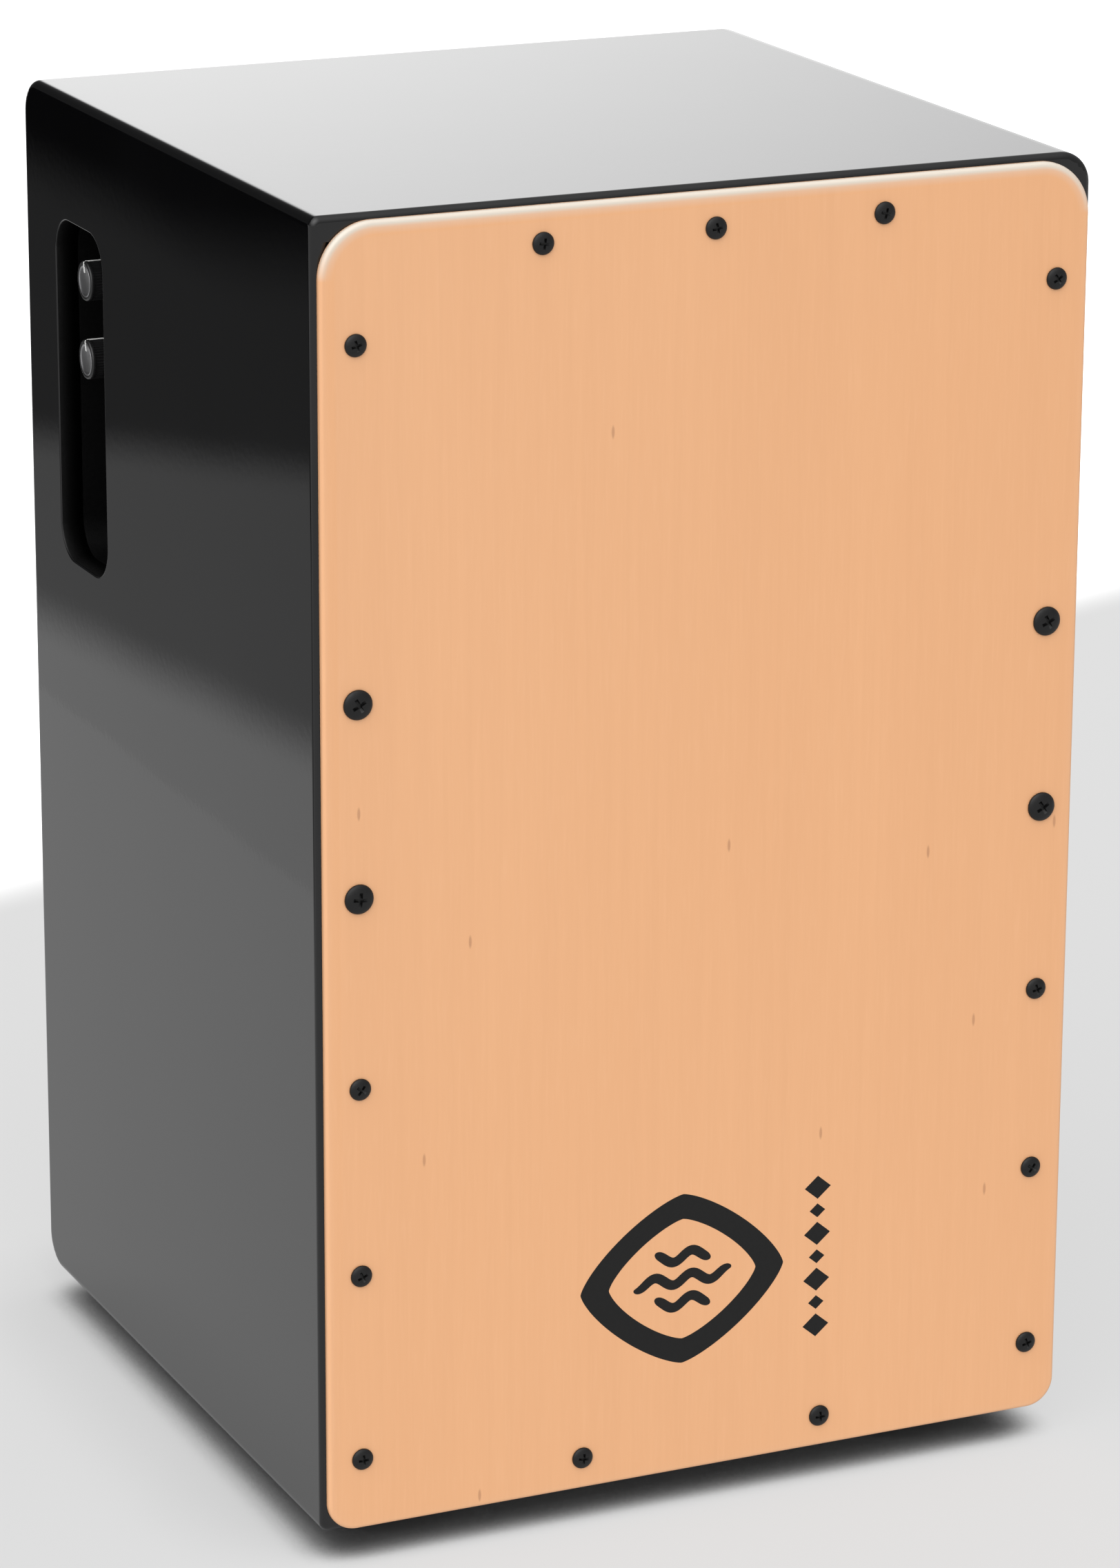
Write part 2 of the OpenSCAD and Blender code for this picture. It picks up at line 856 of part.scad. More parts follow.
module piezo_disc() {
    color("#c9a24b") on_front(piezo_x, front_y + pad_t + brass_t, piezo_z) cylinder(r = piezo_r, h = brass_t);
}

module piezo_ceramic() {
    color("#e6e3da") on_front(piezo_x, front_y + pad_t + brass_t + ceramic_t, piezo_z)
        cylinder(r = ceramic_r, h = ceramic_t);
}

// one point of the curve through p0..p3, between p1 and p2 at t
function curve_point(p0, p1, p2, p3, t) =
    0.5 * (2 * p1 + (p2 - p0) * t + (2 * p0 - 5 * p1 + 4 * p2 - p3) * t * t
        + (3 * p1 - p0 - 3 * p2 + p3) * t * t * t);

// a smooth curve through a route, with steps points along each stretch
function smooth(route, steps) = let (last = len(route) - 1) concat(
    [for (i = [0 : last - 1], k = [0 : steps - 1])
        curve_point(route[max(i - 1, 0)], route[i], route[i + 1], route[min(i + 2, last)], k / steps)],
    [route[last]]
);

function unit(v) = v / norm(v);

// solid tube of radius r along a list of points, its rings square to the curve
module tube(points, r, sides, across) {
    n = len(points);
    rings = [for (i = [0 : n - 1])
        let (along = unit(points[min(i + 1, n - 1)] - points[max(i - 1, 0)]),
             u = unit(cross(along, across)),
             v = cross(along, u))
        [for (k = [0 : sides - 1])
            points[i] + r * (cos(k * 360 / sides) * u + sin(k * 360 / sides) * v)]];
    sides_of = [for (i = [0 : n - 2], k = [0 : sides - 1])
        let (a = i * sides + k, b = i * sides + (k + 1) % sides)
        each [[a, a + sides, b], [b, a + sides, b + sides]]];
    caps = [[for (k = [0 : sides - 1]) k], [for (k = [sides - 1 : -1 : 0]) (n - 1) * sides + k]];
    polyhedron(points = [for (ring = rings) each ring], faces = concat(sides_of, caps), convexity = 6);
}

module pickup_lead() {
    color("#2b2b2b") tube(smooth(lead_route, 3), lead_r, 8, [1, 0.2, -1]);
}

// saddles that hold the lead against the left side
module lead_clips() {
    groove_r = lead_r + lead_gap;
    half_w = clip_w / 2;
    color("#e8e8e8") for (y = clip_spots) translate([panel_back_x, y, wall_run_z]) difference() {
        block([0, 2 * lead_r + clip_t], [-half_w, half_w], [-clip_half_h, clip_half_h]);
        block([-eps, groove_r], [-half_w - eps, half_w + eps], [-groove_r, groove_r]);
        translate([groove_r, half_w + eps, 0]) rotate([90, 0, 0])
            cylinder(r = groove_r, h = clip_w + 2 * eps, $fn = 32);
        for (side = [-1, 1]) {
            translate([clip_t, -half_w - eps, side * nail_z - clip_ear_h / 2])
                cube([clip_ear_h, clip_w + 2 * eps, clip_ear_h]);
            facing_left(clip_t + eps, 0, side * nail_z) cylinder(r = nail_r + 0.1, h = clip_t + 2 * eps);
        }
    }
}

module clip_nails() {
    color("#8f9296") at_nail_spots() {
        translate([0, 0, -nail_head_h]) cylinder(r = nail_head_r, h = nail_head_h);
        cylinder(r = nail_r, h = nail_len);
    }
}

// ---------- feet ----------

module foot(x, y) {
    color("#1b1b1b") difference() {
        translate([x, y, 0]) cylinder(d1 = foot_d - foot_taper, d2 = foot_d, h = foot_h);
        translate([x, y, -eps]) cylinder(r = foot_recess_r, h = foot_recess_h + eps);
        at_foot_spots() hole(foot_screw, loose);
    }
}

module foot_front_left() {
    foot(-foot_x, foot_y[0]);
}

module foot_front_right() {
    foot(foot_x, foot_y[0]);
}

module foot_rear_left() {
    foot(-foot_x, foot_y[1]);
}

module foot_rear_right() {
    foot(foot_x, foot_y[1]);
}

module foot_washers() {
    color("#b9bcc0") at_foot_spots() translate([0, 0, -foot_washer_t])
        ring(foot_recess_r - 2 * loose, foot_screw[2] + loose, foot_washer_t);
}

module foot_screws() {
    color("#b9bcc0") at_foot_spots() screw(foot_screw);
}

left_side_panel();
right_side_panel();
top_panel();
bottom_panel();
rear_panel();
front_plate();
plate_screws();
plate_screws_large();
front_batten_left();
front_batten_right();
front_batten_top();
front_batten_bottom();
rear_batten_left();
rear_batten_right();
rear_batten_top();
rear_batten_bottom();
snare_bar();
snare_mending_plates();
mending_plate_screws();
snare_wires_left();
snare_wires_right();
snare_base_strip_left();
snare_base_strip_right();
snare_tip_strip_left();
snare_tip_strip_right();
snare_strip_screws();
control_box();
control_box_screws();
control_plate();
control_plate_screws();
volume_knob();
volume_knob_cap();
volume_shaft();
volume_set_screw();
volume_pot();
tone_knob();
tone_knob_cap();
tone_shaft();
tone_set_screw();
tone_pot();
pot_washers();
pot_nuts();
output_jack();
jack_washer();
jack_nut();
control_wires();
piezo_pad();
piezo_disc();
piezo_ceramic();
pickup_lead();
lead_clips();
clip_nails();
foot_front_left();
foot_front_right();
foot_rear_left();
foot_rear_right();
foot_washers();
foot_screws();
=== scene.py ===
"""Cajon with a maple playing face, a gloss black box and a pickup pocket in its left side."""
import math
import random

import bmesh
import bpy
import numpy as np
from mathutils import Matrix, Vector


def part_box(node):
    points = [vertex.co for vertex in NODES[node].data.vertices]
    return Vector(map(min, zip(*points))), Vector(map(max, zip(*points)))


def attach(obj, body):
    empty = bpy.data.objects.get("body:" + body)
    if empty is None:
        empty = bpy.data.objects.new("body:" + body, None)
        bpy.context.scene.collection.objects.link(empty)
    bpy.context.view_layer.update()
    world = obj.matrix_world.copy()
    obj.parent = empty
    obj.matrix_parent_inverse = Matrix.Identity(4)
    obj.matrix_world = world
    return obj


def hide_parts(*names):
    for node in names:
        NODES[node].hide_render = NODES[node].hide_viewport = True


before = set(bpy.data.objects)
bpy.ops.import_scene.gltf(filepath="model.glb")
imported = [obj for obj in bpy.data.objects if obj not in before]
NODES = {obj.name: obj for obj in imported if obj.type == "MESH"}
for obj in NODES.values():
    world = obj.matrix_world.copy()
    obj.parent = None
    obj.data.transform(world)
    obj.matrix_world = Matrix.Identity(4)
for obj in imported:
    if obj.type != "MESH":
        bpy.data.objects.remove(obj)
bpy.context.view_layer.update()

MM = 0.001

# ---------- places taken from the frame ----------

PLATE_LO, PLATE_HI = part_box("front_plate")
LEFT_LO, LEFT_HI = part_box("left_side_panel")
RIGHT_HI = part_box("right_side_panel")[1]
REAR_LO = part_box("rear_panel")[0]
TUB_LO, TUB_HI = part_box("control_box")
BOX_LO = LEFT_LO
BOX_HI = Vector((RIGHT_HI.x, LEFT_HI.y, LEFT_HI.z))
WALL = LEFT_HI.x - LEFT_LO.x

# sizes of the design that the frame's boxes don't give
LEFT_EDGE_R = 3.5 * MM
RIGHT_EDGE_R = 12 * MM
REAR_EDGE_R = 14 * MM
FRONT_EDGE_R = 2.5 * MM
PORT_R = 55 * MM
PORT_DROP = 170 * MM
PORT_RIM = 3 * MM
SLOT_R = 14 * MM
SLOT_RIM = 0.6 * MM
TUB_FLANGE = 9 * MM
PLATE_TOP_R = 20 * MM
PLATE_BOTTOM_R = 11 * MM
COLUMN_INSET = 13 * MM
COLUMN_PITCH = 71.5 * MM
LOWEST_COLUMN = 27.5 * MM
HIGHEST_COLUMN_DROP = 43 * MM
TOP_ROW_PITCH = 66.5 * MM
TOP_ROW_DROP = 13.2 * MM
BOTTOM_ROW_GAP = 98 * MM
BOTTOM_ROW_RISE = 12.4 * MM
STRANDS = 10
STRAND_R = 1.1 * MM
LEAD_R = 1.25 * MM
LEAD_GAP = 0.1 * MM
LEAD_WALL_Z = 275 * MM
POT_R = 8 * MM
POT_LEN = 10 * MM
# head radius, head height, shank radius and length under the head of the face's screws
SMALL_SCREW = (4.1 * MM, 1.9 * MM, 1.75 * MM, 19 * MM)
LARGE_SCREW = (5.5 * MM, 2.2 * MM, 2.25 * MM, 19 * MM)

# ---------- the camera ----------

CAMERA_AT = Vector((-0.8848, BOX_LO.y - 1.8215, 0.9044))
CAMERA_AZIMUTH = math.radians(24.42)
CAMERA_DOWN = math.radians(17.16)
CAMERA_ROLL = math.radians(0.24)
CAMERA_LENS = 134.53


def make_camera():
    data = bpy.data.cameras.new("camera")
    data.sensor_width = 36
    data.lens = CAMERA_LENS
    data.clip_start = 0.05
    data.clip_end = 60
    camera = bpy.data.objects.new("camera", data)
    bpy.context.scene.collection.objects.link(camera)
    turn = Matrix.Rotation(-CAMERA_AZIMUTH, 4, "Z")
    tilt = Matrix.Rotation(math.pi / 2 - CAMERA_DOWN, 4, "X")
    roll = Matrix.Rotation(CAMERA_ROLL, 4, "Z")
    camera.matrix_world = Matrix.Translation(CAMERA_AT) @ turn @ tilt @ roll
    bpy.context.scene.camera = camera


make_camera()

# ---------- node helpers ----------


class Nodes:
    """Short names for building a node tree. place is the coordinate that its patterns follow."""

    def __init__(self, tree, place="Object"):
        self.tree = tree
        tree.nodes.clear()
        self.place = self.add("ShaderNodeTexCoord").outputs[place]

    def add(self, kind, **settings):
        node = self.tree.nodes.new(kind)
        for name, value in settings.items():
            setattr(node, name, value)
        return node

    def put(self, target, value):
        """Joins a socket to target, or sets its value."""
        if isinstance(value, bpy.types.NodeSocket):
            self.tree.links.new(value, target)
        else:
            target.default_value = value

    def stretched(self, scale, move=(0, 0, 0)):
        node = self.add("ShaderNodeMapping")
        self.put(node.inputs["Vector"], self.place)
        node.inputs["Scale"].default_value = scale
        node.inputs["Location"].default_value = move
        return node.outputs[0]

    def noise(self, vector, scale, detail=3.0, roughness=0.5, distortion=0.0):
        node = self.add("ShaderNodeTexNoise")
        self.put(node.inputs["Vector"], vector)
        node.inputs["Scale"].default_value = scale
        node.inputs["Detail"].default_value = detail
        node.inputs["Roughness"].default_value = roughness
        node.inputs["Distortion"].default_value = distortion
        return node.outputs[0]

    def cells(self, vector, scale, dimensions="3D"):
        node = self.add("ShaderNodeTexVoronoi", voronoi_dimensions=dimensions)
        self.put(node.inputs["Vector"], vector)
        node.inputs["Scale"].default_value = scale
        return node.outputs["Distance"]

    def fit(self, value, low, high, to_low=0.0, to_high=1.0, smooth=False):
        node = self.add("ShaderNodeMapRange", interpolation_type="SMOOTHSTEP" if smooth else "LINEAR")
        self.put(node.inputs["Value"], value)
        node.inputs["From Min"].default_value = low
        node.inputs["From Max"].default_value = high
        node.inputs["To Min"].default_value = to_low
        node.inputs["To Max"].default_value = to_high
        return node.outputs[0]

    def math(self, operation, first, second=0.5):
        node = self.add("ShaderNodeMath", operation=operation)
        self.put(node.inputs[0], first)
        self.put(node.inputs[1], second)
        return node.outputs[0]

    def dot(self, vector, direction):
        node = self.add("ShaderNodeVectorMath", operation="DOT_PRODUCT")
        self.put(node.inputs[0], vector)
        self.put(node.inputs[1], direction)
        return node.outputs["Value"]

    def length(self, vector):
        node = self.add("ShaderNodeVectorMath", operation="LENGTH")
        self.put(node.inputs[0], vector)
        return node.outputs["Value"]

    def blend(self, factor, first, second):
        node = self.add("ShaderNodeMix", data_type="RGBA")
        self.put(node.inputs["Factor"], factor)
        self.put(node.inputs[6], first)
        self.put(node.inputs[7], second)
        return node.outputs[2]

    def axis(self, letter):
        node = self.add("ShaderNodeSeparateXYZ")
        self.put(node.inputs[0], self.place)
        return node.outputs["XYZ".index(letter)]

    def upright_plane(self, scale_x, scale_z):
        """X and Z as the two axes of a flat pattern."""
        node = self.add("ShaderNodeCombineXYZ")
        self.put(node.inputs[0], self.math("MULTIPLY", self.axis("X"), scale_x))
        self.put(node.inputs[1], self.math("MULTIPLY", self.axis("Z"), scale_z))
        return node.outputs[0]

    def attribute(self, name):
        return self.add("ShaderNodeAttribute", attribute_name=name).outputs["Fac"]

    def bump(self, height, strength, distance=0.001, normal=None):
        node = self.add("ShaderNodeBump")
        self.put(node.inputs["Height"], height)
        node.inputs["Strength"].default_value = strength
        node.inputs["Distance"].default_value = distance
        if normal is not None:
            self.put(node.inputs["Normal"], normal)
        return node.outputs[0]


class Surface(Nodes):
    """A material with one main shader, whose inputs are set by name, with _ for a space."""

    def __init__(self, name):
        self.material = bpy.data.materials.new(name)
        self.material.use_nodes = True
        super().__init__(self.material.node_tree)
        self.shader = self.add("ShaderNodeBsdfPrincipled")
        self.put(self.add("ShaderNodeOutputMaterial").inputs[0], self.shader.outputs[0])

    def set(self, **sockets):
        for name, value in sockets.items():
            self.put(self.shader.inputs[name.replace("_", " ")], value)
        return self.material


def rgb(colour, times=1.0):
    return tuple(c * times for c in colour) + (1,)


# ---------- materials ----------


def lacquer():
    """Sprayed gloss black lacquer over MDF: slightly uneven, with a faint orange peel."""
    s = Surface("black_lacquer")
    haze = s.noise(s.place, 9, 3)
    uneven = s.bump(s.noise(s.place, 9, 1), 0.02, 0.004)
    peel = s.bump(s.noise(s.place, 330, 2), 0.02, 0.0003, uneven)
    return s.set(
        Base_Color=s.blend(haze, (0.002, 0.002, 0.0022, 1), (0.0035, 0.0035, 0.0038, 1)),
        Roughness=s.fit(haze, 0.3, 0.7, 0.025, 0.05),
        IOR=1.5,
        Normal=peel,
    )


def raw_board(name, light, dark, along="Z", pitch=1.0):
    """Unfinished wood whose grain runs along one axis."""
    s = Surface(name)
    stretch = {"X": (3, 60, 60), "Y": (60, 3, 60), "Z": (60, 60, 3)}[along]
    grain = s.noise(s.stretched([c * pitch for c in stretch]), 1.0, 6, 0.6, 0.6)
    pores = s.noise(s.stretched([c * pitch * 9 for c in stretch]), 1.0, 2, 0.5)
    tone = s.blend(s.fit(grain, 0.32, 0.68), rgb(light), rgb(dark))
    return s.set(
        Base_Color=s.blend(s.fit(pores, 0.58, 0.75, 0, 0.35), tone, rgb(dark, 0.55)),
        Roughness=s.fit(grain, 0.3, 0.7, 0.55, 0.75),
        Normal=s.bump(pores, 0.25, 0.0004),
    )


def maple_face():
    """Varnished maple veneer: fine upright grain, a few mineral flecks, and a pale painted highlight along
    the rounded top edge and round the top-left corner.
    """
    s = Surface("maple_face")
    broad = s.noise(s.stretched((9, 1, 1.1)), 1.0, 4, 0.55, 0.4)
    fine = s.noise(s.stretched((260, 1, 7)), 1.0, 4, 0.6, 0.3)
    rays = s.noise(s.stretched((900, 1, 60)), 1.0, 2, 0.5)
    flecks = s.cells(s.upright_plane(18, 4.5), 1.0, "2D")
    tone = s.blend(s.fit(broad, 0.3, 0.7), (0.785, 0.412, 0.204, 1), (0.756, 0.39, 0.19, 1))
    tone = s.blend(s.fit(fine, 0.35, 0.7, 0, 0.1), tone, (0.6, 0.28, 0.13, 1))
    tone = s.blend(s.fit(rays, 0.5, 0.8, 0, 0.1), tone, (0.88, 0.53, 0.3, 1))
    tone = s.blend(s.fit(flecks, 0.007, 0.013, 0.6, 0.0), tone, (0.42, 0.19, 0.09, 1))
    # painted highlight: the pale colour where light falls on the rounded top edge and the top-left corner
    tone = s.blend(s.attribute("edge_highlight"), tone, (0.68, 0.61, 0.52, 1))
    return s.set(
        Base_Color=tone,
        Roughness=s.fit(fine, 0.3, 0.7, 0.36, 0.46),
        Coat_Weight=0.2,
        Coat_Roughness=0.3,
        Normal=s.bump(fine, 0.05, 0.0002),
    )


def plate_plies():
    """The face's cut edge and back: three veneers glued crosswise."""
    s = Surface("maple_plies")
    middle = s.math("ABSOLUTE", s.math("SUBTRACT", s.axis("Y"), (PLATE_LO.y + PLATE_HI.y) / 2))
    core = s.fit(middle, 0.45 * MM, 0.55 * MM, 1.0, 0.0)
    grain = s.noise(s.stretched((200, 60, 12)), 1.0, 4, 0.6)
    # the cut edge is darker than the bare back: partly the end grain's own brown, partly painted shade
    # standing in for the shade on the face's left edge
    tone = s.blend(s.fit(grain, 0.3, 0.7), (0.5, 0.36, 0.24, 1), (0.4, 0.27, 0.17, 1))
    tone = s.blend(s.math("MULTIPLY", core, 0.5), tone, (0.26, 0.16, 0.09, 1))
    back = s.fit(s.axis("Y"), PLATE_HI.y - 0.25 * MM, PLATE_HI.y - 0.05 * MM)
    return s.set(
        Base_Color=s.blend(back, tone, s.blend(grain, (0.78, 0.58, 0.37, 1), (0.66, 0.46, 0.28, 1))),
        Roughness=0.5,
        Normal=s.bump(grain, 0.15, 0.0002),
    )


def finish(name, colour, roughness, metallic=0.0, spread=0.15, scale=220, bump=0.05, **more):
    """A plain shop finish. spread is how far its colour varies; scale and bump are those of its grit."""
    s = Surface(name)
    grit = s.noise(s.place, scale, 3)
    wide = s.noise(s.place, scale / 12, 2)
    return s.set(
        Base_Color=s.blend(wide, rgb(colour), rgb(colour, 1 - spread)),
        Roughness=s.fit(grit, 0.3, 0.7, roughness * 0.85, min(roughness * 1.15, 1)),
        Metallic=metallic,
        Normal=s.bump(grit, bump, 0.0003),
        **more,
    )


def spun_metal(name, colour):
    """Aluminium turned on a lathe: fine rings round each knob's axis, which runs along X."""
    s = Surface(name)
    ring = s.attribute("ring")
    lines = s.noise(ring, 2600, 3, 0.7)
    return s.set(
        Base_Color=s.blend(s.fit(lines, 0.3, 0.7), rgb(colour), rgb(colour, 0.72)),
        Roughness=s.fit(lines, 0.3, 0.7, 0.26, 0.4),
        Metallic=1.0,
        Normal=s.bump(lines, 0.3, 0.0001),
    )


def crushed_foam():
    s = Surface("foam")
    pits = s.cells(s.place, 900)
    return s.set(
        Base_Color=s.blend(s.fit(pits, 0.1, 0.6), (0.02, 0.02, 0.021, 1), (0.07, 0.07, 0.073, 1)),
        Roughness=0.95,
        Normal=s.bump(pits, 0.8, 0.0006),
    )


PALE_WOOD = (0.66, 0.47, 0.27)
DARK_WOOD = (0.52, 0.33, 0.17)
M_LACQUER = lacquer()
M_CUT = finish("cut_edge_paint", (0.006, 0.006, 0.006), 0.5, 0.0, 0.25, 700, 0.2, IOR=1.3)
M_INSIDE = raw_board("raw_inside", (0.62, 0.43, 0.25), (0.5, 0.32, 0.17), "Z", 0.8)
M_UPRIGHT = raw_board("batten_upright", PALE_WOOD, DARK_WOOD, "Z", 1.2)
M_ACROSS = raw_board("batten_across", PALE_WOOD, DARK_WOOD, "X", 1.2)
M_FACE = maple_face()
M_PLIES = plate_plies()
M_FOAM = crushed_foam()
M_CAP = spun_metal("knob_cap_metal", (0.42, 0.42, 0.43))
M_SCREW = finish("black_screw", (0.005, 0.005, 0.0052), 0.42, 0.0, 0.2, 900, 0.08, IOR=1.38)
M_ZINC = finish("zinc_steel", (0.62, 0.62, 0.64), 0.34, 1.0, 0.12, 600, 0.05)
M_SNARE = finish("snare_steel", (0.72, 0.72, 0.73), 0.24, 1.0, 0.1, 800, 0.03)
M_BRASS = finish("brass", (0.78, 0.56, 0.22), 0.25, 1.0, 0.12, 400, 0.03)
M_SHAFT = finish("shaft_metal", (0.6, 0.6, 0.6), 0.3, 1.0, 0.1, 700, 0.04)
M_TUB = finish("black_plastic", (0.002, 0.002, 0.0021), 0.45, 0.0, 0.2, 1500, 0.25, IOR=1.25)
M_POCKET = finish("black_metal", (0.0015, 0.0015, 0.0016), 0.35, 0.0, 0.2, 1200, 0.05, IOR=1.2)
M_KNOB = finish("knob_black", (0.008, 0.008, 0.0083), 0.36, 0.0, 0.2, 1100, 0.06, IOR=1.5)
M_LINE = finish("pointer_white", (0.8, 0.8, 0.78), 0.5, 0.0, 0.05, 900, 0.05)
M_WIRE = finish("wire_red", (0.42, 0.03, 0.02), 0.35, 0.0, 0.1, 400, 0.02)
M_CERAMIC = finish("ceramic", (0.75, 0.73, 0.68), 0.35, 0.3, 0.06, 300, 0.03)
M_LEAD = finish("lead_black", (0.018, 0.018, 0.018), 0.45, 0.0, 0.2, 900, 0.05)
M_CLIP = finish("clip_white", (0.72, 0.72, 0.7), 0.45, 0.0, 0.05, 600, 0.05)
M_RUBBER = finish("foot_rubber", (0.015, 0.015, 0.015), 0.75, 0.0, 0.25, 1300, 0.3)
M_INK = finish("black_print", (0.0045, 0.0045, 0.0045), 0.5, 0.0, 0.2, 500, 0.05, IOR=1.36)

CAD_FINISH = {
    M_UPRIGHT: ["front_batten_left", "front_batten_right", "rear_batten_left", "rear_batten_right"],
    M_ACROSS: [
        "front_batten_top", "front_batten_bottom", "rear_batten_top", "rear_batten_bottom", "snare_bar",
    ],
    M_ZINC: [
        "snare_mending_plates", "control_box_screws", "volume_pot", "tone_pot", "pot_washers", "pot_nuts",
        "jack_washer", "jack_nut", "clip_nails", "foot_washers", "foot_screws",
    ],
    M_SNARE: [
        "snare_base_strip_left", "snare_base_strip_right", "snare_tip_strip_left", "snare_tip_strip_right",
    ],
    M_BRASS: ["mending_plate_screws", "snare_strip_screws", "piezo_disc"],
    M_TUB: ["control_box", "output_jack"],
    M_POCKET: ["control_plate"],
    M_SCREW: ["control_plate_screws", "volume_set_screw", "tone_set_screw"],
    M_SHAFT: ["volume_shaft", "tone_shaft"],
    M_WIRE: ["control_wires"],
    M_FOAM: ["piezo_pad"],
    M_CERAMIC: ["piezo_ceramic"],
    M_CLIP: ["lead_clips"],
}


def finish_cad_nodes():
    for material, names in CAD_FINISH.items():
        for name in names:
            mesh = NODES[name].data
            mesh.materials.clear()
            mesh.materials.append(material)


def soften_edges(width, *names):
    """Breaks the sharp edges of sawn and stamped pieces."""
    for name in names:
        modifier = NODES[name].modifiers.new("edges", "BEVEL")
        modifier.width = width
        modifier.segments = 2
        modifier.limit_method = "ANGLE"
        modifier.angle_limit = math.radians(50)


finish_cad_nodes()
soften_edges(0.7 * MM, *CAD_FINISH[M_UPRIGHT], *CAD_FINISH[M_ACROSS])
soften_edges(0.25 * MM, "snare_mending_plates", "control_plate", "lead_clips")

# ---------- mesh helpers ----------


def mesh_from(name, verts, faces):
    mesh = bpy.data.meshes.new(name)
    mesh.from_pydata([tuple(v) for v in verts], [], faces)
    mesh.validate()
    mesh.update()
    return mesh


def mesh_of(name, bm):
    mesh = bpy.data.meshes.new(name)
    bm.to_mesh(mesh)
    bm.free()
    return mesh


def outward(mesh):
    bm = bmesh.new()
    bm.from_mesh(mesh)
    bmesh.ops.recalc_face_normals(bm, faces=bm.faces[:])
    bm.to_mesh(mesh)
    bm.free()
    return mesh


def add_piece(name, mesh, materials, replaced=(), body="box", smooth=True):
    """Adds a finished piece that rides on a body and stands for CAD nodes."""
    piece = bpy.data.objects.new(name, mesh)
    bpy.context.scene.collection.objects.link(piece)
    mesh.materials.clear()
    for material in materials:
        mesh.materials.append(material)
    if smooth:
        for polygon in mesh.polygons:
            polygon.use_smooth = True
        modifier = piece.modifiers.new("normals", "WEIGHTED_NORMAL")
        modifier.weight = 100
        modifier.keep_sharp = True
    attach(piece, body)
    if replaced:
        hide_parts(*replaced)
    return piece


def sharpen(mesh, degrees=35):
    """Marks the edges between faces that meet at more than an angle."""
    bm = bmesh.new()
    bm.from_mesh(mesh)
    for edge in bm.edges:
        edge.smooth = edge.calc_face_angle(0) < math.radians(degrees)
    bm.to_mesh(mesh)
    bm.free()
    return mesh


def rounded_outline(low, high, radii, inset=0.0, steps=12):
    """Points round a rectangle, anticlockwise from its lower left corner, as its radii go too."""
    corners = [(low[0], low[1]), (high[0], low[1]), (high[0], high[1]), (low[0], high[1])]
    signs = [(1, 1), (-1, 1), (-1, -1), (1, -1)]
    points = []
    for i, ((x, y), (sx, sy), r) in enumerate(zip(corners, signs, radii)):
        centre = (x + sx * r, y + sy * r)
        start = math.pi + i * math.pi / 2
        for k in range(steps + 1):
            angle = start + k / steps * math.pi / 2
            reach = r - inset
            points.append((centre[0] + reach * math.cos(angle), centre[1] + reach * math.sin(angle)))
    return points


def lathe(profile, steps, place, ripple=None):
    """Turns (radius, height) pairs round an axis. Ends on the axis close it; otherwise it is a ring."""
    verts, rows = [], []
    for radius, height in profile:
        if radius == 0:
            rows.append([len(verts)] * steps)
            verts.append(place(0, 0, height))
            continue
        rows.append(list(range(len(verts), len(verts) + steps)))
        for k in range(steps):
            angle = 2 * math.pi * k / steps
            reach = radius + (ripple(angle, height) if ripple else 0)
            verts.append(place(reach * math.cos(angle), reach * math.sin(angle), height))
    if profile[0][0] != 0:
        rows.append(rows[0])
    faces = []
    for a, b in zip(rows, rows[1:]):
        for k in range(steps):
            n = (k + 1) % steps
            ring = [a[k], a[n], b[n], b[k]]
            face = [v for i, v in enumerate(ring) if v != ring[i - 1]]
            faces.append(face)
    return verts, faces


def catmull_rom(route, steps):
    """A smooth curve through a route's points, with steps points along each stretch."""
    last = len(route) - 1
    points = []
    for i in range(last):
        p0, p1, p2, p3 = (np.array(route[j]) for j in (max(i - 1, 0), i, i + 1, min(i + 2, last)))
        for k in range(steps):
            t = k / steps
            bend = (2 * p0 - 5 * p1 + 4 * p2 - p3) * t * t + (3 * p1 - p0 - 3 * p2 + p3) * t ** 3
            points.append(0.5 * (2 * p1 + (p2 - p0) * t + bend))
    points.append(np.array(route[last]))
    return np.array(points)


def tube(points, radius, sides):
    """A closed tube along points: its vertices and faces."""
    n = len(points)
    along = np.gradient(points, axis=0)
    along /= np.linalg.norm(along, axis=1, keepdims=True)
    side = np.cross(along[0], (0.31, 0.9, 0.27))
    verts = []
    for i in range(n):
        side = side - along[i] * side.dot(along[i])
        side /= np.linalg.norm(side)
        up = np.cross(along[i], side)
        for k in range(sides):
            angle = 2 * math.pi * k / sides
            verts.append(points[i] + radius * (math.cos(angle) * side + math.sin(angle) * up))
    faces = []
    for i in range(n - 1):
        for k in range(sides):
            a, b = i * sides + k, i * sides + (k + 1) % sides
            faces.append([a, b, b + sides, a + sides])
    faces.append(list(range(sides))[::-1])
    faces.append([(n - 1) * sides + k for k in range(sides)])
    return verts, faces


# ---------- the lacquered box ----------


def rounded_max(a, b, r):
    """The distance to an edge where two distances meet, rounded with radius r."""
    inside = np.minimum(np.maximum(a + r, b + r), 0)
    return inside + np.hypot(np.maximum(a + r, 0), np.maximum(b + r, 0)) - r


def box_distance(p):
    """Signed distance from the outside of the lacquered box."""
    centre_x = (BOX_LO.x + BOX_HI.x) / 2
    centre_z = (BOX_LO.z + BOX_HI.z) / 2
    over_x = np.abs(p[:, 0] - centre_x) - (BOX_HI.x - BOX_LO.x) / 2
    over_z = np.abs(p[:, 2] - centre_z) - (BOX_HI.z - BOX_LO.z) / 2
    outline = rounded_max(over_z, p[:, 1] - BOX_HI.y, REAR_EDGE_R)
    side_r = np.where(p[:, 0] > centre_x, RIGHT_EDGE_R, LEFT_EDGE_R)
    return rounded_max(rounded_max(outline, over_x, side_r), BOX_LO.y - p[:, 1], FRONT_EDGE_R)


